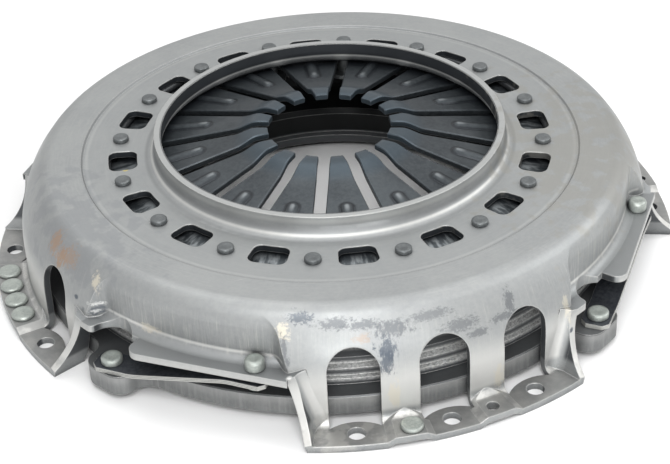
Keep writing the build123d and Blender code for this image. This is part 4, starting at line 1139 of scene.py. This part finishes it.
# ---- Diaphragm spring -----------------------------------------------------------------------------------
@dataclass(frozen=True)
class DiaphragmSpring:
    """Slotted conical spring, built from one ribbed finger.

    Args:
        rib: Sizes of the ribs.
        ring_r: Circle of the pivot rings.
        ring_top: Height of the upper surface there.
        slope: Rise towards the axis.
        thick: Upright thickness of the cone.
        bend_r: Fingers bend up inside this radius.
        flat_r: They are level inside this one.
        lift: Rise of the tips over the cone's line.
        slot: Width of the slots.
        hole_r: Keyhole at a slot's end.
        hole_at: Its distance from the axis.
        eased: Rounding of the finger's edges.
        end_share: Share of that rounding at the tip and the outer edge.
        bead: Power of the rib's rounded section.
        rib_share: Most of half a finger's width that the rib's corners take up.
        rib_steps: Divisions of half the rib.
        side_steps: Divisions from the rib to the finger's edge.
        weld: Distance within which the fingers' corners join.
        anchor: Height about which the spring would flatten; not used.
        keep: Share of its height that would be left at full lift; not used.
        rows: Radii of the rows of corners, from the tip to the outer edge, in millimetres.
    """

    rib: Rib = Rib()
    ring_r: float = 0.1485
    ring_top: float = 0.0628346
    slope: float = 0.21
    thick: float = 0.0042916
    bend_r: float = 0.063
    flat_r: float = 0.048
    lift: float = 0.0024
    slot: float = 0.0078
    hole_r: float = 0.008
    hole_at: float = 0.140
    eased: float = 0.0006
    end_share: float = 0.7
    bead: float = 0.8
    rib_share: float = 0.55
    rib_steps: int = 5
    side_steps: int = 3
    weld: float = 0.00001
    anchor: float = 0.0607
    keep: float = 0.3
    rows: tuple[float, ...] = (
        40.6, 41.2, 44.5, 48, 50, 52, 54, 56, 58, 60, 61.5, 63, 69, 76, 82, 82.7, 83.6, 84.6, 85.7, 86.8,
        91, 96, 101, 106, 110.5, 114.7, 115.8, 116.9, 117.9, 118.8, 119.5, 124, 129, 132, 133, 134.5, 137,
        140, 143, 145.5, 147.2, 147.9, 148, 152, 158, 165, 172, 177.4, 178,
    )

    def cone(self, r: float) -> float:
        """Height of the plain cone's upper surface."""
        return self.ring_top + (self.ring_r - r) * self.slope

    def top(self, r: float, off: float) -> float:
        """Height of the upper surface.

        Args:
            r: Distance from the clutch axis.
            off: Distance off the finger's middle.

        Returns:
            The height, with the rib and the raised tip.
        """
        if r < self.bend_r:
            span = self.bend_r - self.flat_r
            t = min(1.0, (self.bend_r - r) / span)
            low, high = self.cone(self.bend_r), self.cone(self.flat_r) + self.lift
            leaving = self.slope * span * (t**3 - 2 * t**2 + t)
            return low * (2 * t**3 - 3 * t**2 + 1) + leaving + high * (3 * t**2 - 2 * t**3)
        past = max(0.0, self.rib.start - r, r - self.rib.stop)
        away = min(1.0, math.hypot(off, past) / self.rib.reach)
        return self.cone(r) + self.rib.height * (1 - away**2) ** self.bead

    def joined(self, r: float) -> bool:
        """Whether the fingers are one ring at a radius."""
        return r >= self.hole_at + self.hole_r

    def half_angle(self, r: float) -> float:
        """Half the angle of a finger.

        Args:
            r: Distance from the clutch axis.

        Returns:
            The angle from the finger's middle to its edge.
        """
        pitch = math.pi / FINGER_COUNT
        if self.joined(r):
            return pitch
        off = self.slot / 2
        if r > self.hole_at - self.hole_r:
            off = max(off if r < self.hole_at else 0.0, math.sqrt(self.hole_r**2 - (r - self.hole_at) ** 2))
        return pitch - math.asin(off / r)

    def section(self, r: float, end: bool) -> list[Point]:
        """Corners round a finger's section, over its top and back under it.

        Args:
            r: Distance from the clutch axis.
            end: Whether it is the first or last section, where both faces are eased.

        Returns:
            The corners.
        """
        edge = self.half_angle(r) * r
        inner = min(self.rib.reach, self.rib_share * edge)
        rest = edge - self.eased - inner
        side = [inner * k / self.rib_steps for k in range(1, self.rib_steps + 1)]
        side += [inner + rest * k / self.side_steps for k in range(1, self.side_steps + 1)]
        sunk = self.eased * self.end_share if end else 0.0
        drop = sunk if self.joined(r) else sunk + self.eased
        offsets = [-off for off in reversed(side)] + [0.0] + side
        over = [(-edge, -drop), *((off, -sunk) for off in offsets), (edge, -drop)]
        loop = over + [(off, -self.thick - fall) for off, fall in reversed(over)]
        return [(r * math.cos(off / r), r * math.sin(off / r), self.top(r, off) + fall) for off, fall in loop]

    def finger(self) -> bpy.types.Mesh:
        """One finger with its sixteenth of the outer ring."""
        radii = [value * MM for value in self.rows]
        rows = [self.section(r, r in (radii[0], radii[-1])) for r in radii]
        numbers = numbered(rows)
        count = len(rows[0])
        half = count // 2
        faces: list[tuple[int, ...]] = []
        for r, here, there in zip(radii, numbers, numbers[1:]):
            faces += band(here, there, (half - 1, count - 1) if self.joined(r) else ())
        for row in (numbers[0], numbers[-1]):
            faces += [(row[j], row[j + 1], row[-2 - j], row[-1 - j]) for j in range(half - 1)]
        return mesh_from("finger", rows, faces)

    def build(self, material: bpy.types.Material) -> None:
        """Builds the spring.

        Args:
            material: Its finish.
        """
        spring = Ring.place("spring_fingers", self.finger(), material, count=FINGER_COUNT, radius=0.0,
                            first_angle=math.pi / FINGER_COUNT, pitch=math.tau / FINGER_COUNT, weld=self.weld)
        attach(spring, "cover_side")
        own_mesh(spring)
        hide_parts("diaphragm_spring")
        LOG.info("diaphragm spring: %d faces", len(spring.data.polygons))


# ---- Rivets ---------------------------------------------------------------------------------------------
@dataclass(frozen=True)
class Head:
    """Round rivet head, in millimetres.

    Args:
        radius: Its radius.
        seat: Height of the face that it lies on.
        height: How far it stands over that face.
        rounding: Rounding of its rim.
        dish: How far its middle is sunk.
        cut: Width and height of the cut lower edge.
        arc_steps: Divisions of the rounding.
        dish_steps: Divisions of the dish.
    """

    radius: float
    seat: float
    height: float
    rounding: float
    dish: float
    cut: Span = (0.25, 0.3)
    arc_steps: int = 6
    dish_steps: int = 5

    def outline(self) -> list[Span]:
        """Half section from the seat up to the middle."""
        top, flat = self.seat + self.height, self.radius - self.rounding
        points = [(self.radius - self.cut[0], self.seat), (self.radius, self.seat + self.cut[1])]
        for k in range(self.arc_steps + 1):
            turn = math.pi / 2 * k / self.arc_steps
            points.append((flat + self.rounding * math.cos(turn), top - self.rounding * (1 - math.sin(turn))))
        shares = [k / self.dish_steps for k in reversed(range(self.dish_steps))]
        return points + [(flat * share, top - self.dish * (1 - share**2) ** 2) for share in shares]


@dataclass(frozen=True)
class Foot:
    """Flat rivet foot, in millimetres.

    Args:
        radius: Its radius.
        face: Height of the face that it lies on.
        height: How far it hangs under that face.
        cut_share: Share of its height that is cut off its lower edge.
    """

    radius: float
    face: float
    height: float
    cut_share: float = 0.25

    def outline(self) -> list[Span]:
        """Half section from the middle up to the face."""
        cut, low = self.height * self.cut_share, self.face - self.height
        return [(0, low), (self.radius - cut, low), (self.radius, low + cut), (self.radius, self.face)]


@dataclass(frozen=True)
class RivetRow:
    """Rivets of one kind, set round the clutch axis.

    Args:
        name: The piece's name.
        node: The CAD node that it stands for.
        body: The body that it rides on.
        finish: Its finish.
        count: Number of rivets.
        circle: Their distance from the clutch axis, in millimetres.
        first_deg: Angle of the first one.
        pitch_deg: Angle between neighbours.
        shank: Radius of the shank, in millimetres.
        head: The head's sizes.
        foot: The foot's sizes.
        waist: Radius and top of a thicker part of the shank over the foot, in millimetres.
        weld: Distance within which corners join.
    """

    name: str
    node: str
    body: str
    finish: MetalFinish
    count: int
    circle: float
    first_deg: float
    pitch_deg: float
    shank: float
    head: Head
    foot: Foot
    waist: Span | None = None
    weld: float = 0.000001

    def outline(self) -> list[Span]:
        """The rivet's half section, in millimetres, from its foot up."""
        points = self.foot.outline()
        if self.waist:
            thick, top = self.waist
            points += [(thick, self.foot.face), (thick, top), (self.shank, top)]
        else:
            points += [(self.shank, self.foot.face)]
        return points + [(self.shank, self.head.seat)] + self.head.outline()

    def build(self, material: bpy.types.Material) -> None:
        """Builds the row.

        Args:
            material: Its finish.
        """
        single = lathe(self.name, [(r * MM, z * MM) for r, z in self.outline()])
        first, pitch = math.radians(self.first_deg), math.radians(self.pitch_deg)
        row = Ring.place(self.name, single, material, count=self.count, radius=self.circle * MM,
                         first_angle=first, pitch=pitch, weld=self.weld)
        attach(row, self.body)
        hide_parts(self.node)
        LOG.info("%s: %d rivets", self.name, self.count)


LEFT_BALANCE_HEAD = Head(radius=7.4, seat=7.3, height=2.5, rounding=1.3, dish=0.15)
BALANCE_FOOT = Foot(radius=5.6, face=2.8, height=1.8)

RIVET_ROWS = (
    RivetRow("pivot_rivet_ring", "pivot_rivets", "cover_side", Finishes.pivot, count=16, circle=140.0,
             first_deg=0.0, pitch_deg=22.5, shank=4.5, head=Head(5.2, 74.0, 3.0, rounding=1.1, dish=0.25),
             foot=Foot(11.0, 52.12, 3.5), waist=(5.3, 69.45)),
    RivetRow("lug_rivet_heads", "lug_strap_rivets", "plate_side", Finishes.zinc, count=4, circle=210.0,
             first_deg=32.2, pitch_deg=90.0, shank=4.0, head=Head(6.65, 21.3, 4.0, rounding=1.5, dish=0.3),
             foot=Foot(6.5, 10.0, 3.0)),
    RivetRow("ledge_rivet_heads", "ledge_strap_rivets", "cover_side", Finishes.zinc, count=4, circle=203.0,
             first_deg=58.9, pitch_deg=90.0, shank=4.0, head=Head(6.0, 40.6, 7.0, rounding=2.2, dish=0.35),
             foot=Foot(6.5, 30.9, 3.0)),
    RivetRow("balance_rivet_row", "balance_rivets_left", "cover_side", Finishes.zinc, count=4, circle=220.0,
             first_deg=173.4, pitch_deg=4.4, shank=3.85, head=LEFT_BALANCE_HEAD, foot=BALANCE_FOOT),
    RivetRow("balance_rivet_single", "balance_rivet_front", "cover_side", Finishes.zinc, count=1,
             circle=220.0, first_deg=263.4, pitch_deg=0.0, shank=3.85,
             head=replace(LEFT_BALANCE_HEAD, radius=7.0), foot=BALANCE_FOOT),
)


# ---- Strap packs ----------------------------------------------------------------------------------------
@dataclass(frozen=True)
class StrapPack:
    """Three leaves between a plate lug and the next ledge.

    Args:
        lug_r: Distance of the lug rivet from the axis.
        lug_deg: Its angle, from the lobe before it.
        ledge_r: Distance of the ledge rivet from the axis.
        ledge_deg: Its angle.
        low_z: Face of the lug.
        high_z: Face under the ledge that the pack lies against.
        thick: Thickness of a leaf.
        width: Width of a leaf.
        lug_end: Leaf beyond the lug rivet.
        ledge_end: Leaf beyond the ledge rivet.
        flat: Flat length beside each rivet.
        bend: Share of the length between that each bend takes up.
        corner: Cut corner at the ends.
        eased: Rounding of the long edges.
        sharp_deg: Angle from which an edge stays sharp.
        steps: Divisions of a leaf between its cut corners.
    """

    lug_r: float = 0.210
    lug_deg: float = 32.2
    ledge_r: float = 0.203
    ledge_deg: float = 58.9
    low_z: float = 0.0183
    high_z: float = 0.0339
    thick: float = 0.001
    width: float = 0.0175
    lug_end: float = 0.010
    ledge_end: float = 0.0085
    flat: float = 0.012
    bend: float = 0.12
    corner: float = 0.0035
    eased: float = 0.00018
    sharp_deg: float = 30.0
    steps: int = 36

    def ends(self, lobe: int) -> tuple[Vector, Vector]:
        """Places of the two rivets in plan.

        Args:
            lobe: Number of the lobe before the pack.

        Returns:
            The lug's rivet and the ledge's rivet.
        """
        turn = math.tau * lobe / len(LOBES)
        spots = []
        for radius, deg in ((self.lug_r, self.lug_deg), (self.ledge_r, self.ledge_deg)):
            angle = turn + math.radians(deg)
            spots.append(Vector((radius * math.cos(angle), radius * math.sin(angle), 0)))
        return spots[0], spots[1]

    def course(self, along: float, length: float) -> float:
        """Height of the lowest leaf's underside.

        Args:
            along: Distance from the lug's rivet towards the ledge's.
            length: Distance between the two.

        Returns:
            The height, level beside both rivets and bent softly in between.
        """
        rise = self.high_z - self.thick * len(LEAVES) - self.low_z
        t = min(1.0, max(0.0, (along - self.flat) / (length - 2 * self.flat)))
        if t < self.bend:
            share = t * t / (2 * self.bend)
        elif t > 1 - self.bend:
            share = 1 - self.bend - (1 - t) ** 2 / (2 * self.bend)
        else:
            share = t - self.bend / 2
        return self.low_z + rise * share / (1 - self.bend)

    def section(self, reach: float) -> list[Span]:
        """Outline of a leaf across the strap.

        Args:
            reach: Half the leaf's width.

        Returns:
            Places across and up.
        """
        side = [(reach - self.eased, 0), (reach, self.eased)]
        side += [(off, self.thick - up) for off, up in reversed(side)]
        return side + [(-off, up) for off, up in reversed(side)]

    def leaf(self, name: str, lobe: int, level: int) -> bpy.types.Mesh:
        """One leaf as a closed strip.

        Args:
            name: The mesh's name.
            lobe: Number of the lobe before the pack.
            level: Number of the leaf, from the lowest.

        Returns:
            The mesh.
        """
        start, stop = self.ends(lobe)
        length = (stop - start).length
        ahead = (stop - start) / length
        aside = ahead.cross(Vector((0, 0, 1)))
        low, high = -self.lug_end, length + self.ledge_end
        run = high - low - 2 * self.corner
        places = [low, *(low + self.corner + run * k / self.steps for k in range(self.steps + 1)), high]
        rows = []
        for place in places:
            reach = self.width / 2 - (self.corner if place in (low, high) else 0)
            spot = start + ahead * place + Vector((0, 0, self.course(place, length) + level * self.thick))
            rows.append([spot + aside * off + Vector((0, 0, up)) for off, up in self.section(reach)])
        numbers = numbered(rows)
        faces: list[Sequence[int]] = [numbers[0], numbers[-1]]
        for here, there in zip(numbers, numbers[1:]):
            faces += band(here, there)
        mesh = mesh_from(name, rows, faces)
        smooth_mesh(mesh, self.sharp_deg)
        return mesh

    def build(self, material: bpy.types.Material) -> None:
        """Builds all four packs.

        Args:
            material: Their finish.
        """
        for lobe, lobe_name in enumerate(LOBES):
            for level, leaf_name in enumerate(LEAVES):
                label = f"{lobe_name}_{LOBES[(lobe + 1) % len(LOBES)]}_{leaf_name}"
                piece = add_piece("leaf_" + label, self.leaf("leaf_" + label, lobe, level))
                dress(piece, material)
                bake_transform(piece)
                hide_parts("strap_leaf_" + label)
            LOG.info("strap pack %s: %d leaves", lobe_name, len(LEAVES))


# ---- Stage ----------------------------------------------------------------------------------------------
@dataclass(frozen=True)
class Lamp:
    """Soft square lamp that faces the part.

    Args:
        name: Its name.
        place: Where it hangs.
        power: In watts.
        size: Its side.
        aim: The point that it faces.
    """

    name: str
    place: Point
    power: float
    size: float
    aim: Point = (0.0, 0.0, 0.04)

    def build(self) -> None:
        """Hangs the lamp."""
        light = bpy.data.lights.new(self.name, "AREA")
        light.energy = self.power
        light.size = self.size
        seat = bpy.data.objects.new(self.name, light)
        seat.location = self.place
        seat.rotation_euler = (Vector(self.aim) - Vector(self.place)).to_track_quat("-Z", "Y").to_euler()
        bpy.context.scene.collection.objects.link(seat)


@dataclass(frozen=True)
class Stage:
    """Floor, soft lights, white surroundings and the camera.

    Args:
        elevation_deg: Height of the camera above the horizon.
        turn_deg: Turn of the camera about the clutch axis.
        distance: From the middle of the rivet ring.
        aim_height: Height of that ring.
        pan_deg: The camera's turn away from it.
        tilt_deg: The camera's nod away from it.
        roll_deg: The camera's roll.
        lens_mm: Focal length.
        sensor_mm: Width of the sensor.
        clip_end: Distance up to which the camera sees.
        floor_size: Side of the floor.
        floor_tone: Its grey.
        floor_rough: Its roughness.
        lit: Strength of the surroundings in what they light.
        lamps: The lights.
    """

    elevation_deg: float = 30.3998
    turn_deg: float = -16.95
    distance: float = 1.142918
    aim_height: float = 0.077
    pan_deg: float = -0.02412
    tilt_deg: float = -3.1764
    roll_deg: float = 2.7997
    lens_mm: float = 92.766
    sensor_mm: float = 36.0
    clip_end: float = 20.0
    floor_size: float = 6.0
    floor_tone: float = 0.93
    floor_rough: float = 0.8
    lit: float = 0.42
    lamps: tuple[Lamp, ...] = (
        Lamp("key", (-0.4, -1.2, 1.6), 23.0, 1.0),
        Lamp("front", (-0.35, -1.7, 0.32), 15.0, 0.9),
        Lamp("side", (1.5, -0.4, 1.1), 12.0, 1.0),
        Lamp("top", (0.1, 0.5, 1.9), 14.0, 1.6),
    )

    def camera(self) -> None:
        """Places the camera."""
        up_angle = math.radians(self.elevation_deg)
        forward = Vector((0, math.cos(up_angle), -math.sin(up_angle)))
        right = Vector((1, 0, 0))
        up = right.cross(forward)
        pan = Matrix.Rotation(math.radians(self.pan_deg), 3, up)
        forward, right = pan @ forward, pan @ right
        tilt = Matrix.Rotation(math.radians(self.tilt_deg), 3, right)
        forward, up = tilt @ forward, tilt @ up
        roll = Matrix.Rotation(math.radians(self.roll_deg), 3, forward)
        right, up = roll @ right, roll @ up
        basis = Matrix((right, up, -forward)).transposed().to_4x4()
        eye = Vector((0, -self.distance * math.cos(up_angle), self.distance * math.sin(up_angle)))
        turned = Matrix.Rotation(math.radians(self.turn_deg), 4, "Z") @ Matrix.Translation(eye) @ basis
        lens = bpy.data.cameras.new("camera")
        lens.lens = self.lens_mm
        lens.sensor_width = self.sensor_mm
        lens.sensor_fit = "HORIZONTAL"
        lens.clip_end = self.clip_end
        seat = bpy.data.objects.new("camera", lens)
        seat.matrix_world = Matrix.Translation((0, 0, self.aim_height)) @ turned
        bpy.context.scene.collection.objects.link(seat)
        bpy.context.scene.camera = seat

    def surroundings(self) -> None:
        """White world, plain in what it lights and white in what it shows."""
        world = bpy.data.worlds.new("surroundings")
        world.use_nodes = True
        tree = Tree(world.node_tree)
        back = world.node_tree.nodes["Background"]
        path = tree.every("ShaderNodeLightPath")
        seen = path["Is Camera Ray"] | path["Is Transmission Ray"] | path["Is Glossy Ray"]
        tree.feed(back.inputs["Color"], (1, 1, 1))
        tree.feed(back.inputs["Strength"], seen.ramp(0.0, 1.0, self.lit, 1.0, smooth=False))
        bpy.context.scene.world = world

    def floor(self) -> None:
        """Lays the pale floor."""
        half = self.floor_size / 2
        mesh = bpy.data.meshes.new("floor")
        corners = [(-half, -half, 0), (half, -half, 0), (half, half, 0), (-half, half, 0)]
        mesh.from_pydata(corners, [], [(0, 1, 2, 3)])
        material = bpy.data.materials.new("pale_floor")
        material.use_nodes = True
        shader = material.node_tree.nodes["Principled BSDF"]
        shader.inputs["Base Color"].default_value = (*[self.floor_tone] * 3, 1.0)
        shader.inputs["Roughness"].default_value = self.floor_rough
        mesh.materials.append(material)
        add_piece("floor", mesh)

    def build(self) -> None:
        """Sets the stage."""
        bpy.context.scene.view_settings.view_transform = "Standard"
        self.surroundings()
        self.floor()
        for lamp in self.lamps:
            lamp.build()
        self.camera()


class ClutchCover:
    """The whole assembly."""

    def __init__(self, frame: dict[str, Any]) -> None:
        """Keeps the frame.
        """
        self.nodes = frame["nodes"]

    def build(self) -> None:
        """Dresses the CAD nodes that stay and builds the pieces that stand for the others."""
        wire = Finishes.wire.build()
        kept = {"cover": Finishes.cover.build(), "pressure_plate": Finishes.plate.build(),
                "upper_pivot_ring": wire, "lower_pivot_ring": wire}
        for name, material in kept.items():
            dress(self.nodes[name], material)
            LOG.info("dressed %s", name)
        DiaphragmSpring().build(Finishes.spring.build())
        metals = {finish: finish.build() for finish in (Finishes.pivot, Finishes.zinc)}
        for row in RIVET_ROWS:
            row.build(metals[row.finish])
        StrapPack().build(Finishes.strap.build())


def main() -> None:
    """Builds the scene."""
    logging.basicConfig(level=logging.INFO, format="%(name)s: %(message)s")
    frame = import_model()
    ClutchCover(frame).build()
    Stage().build()


if __name__ == "__main__":
    main()
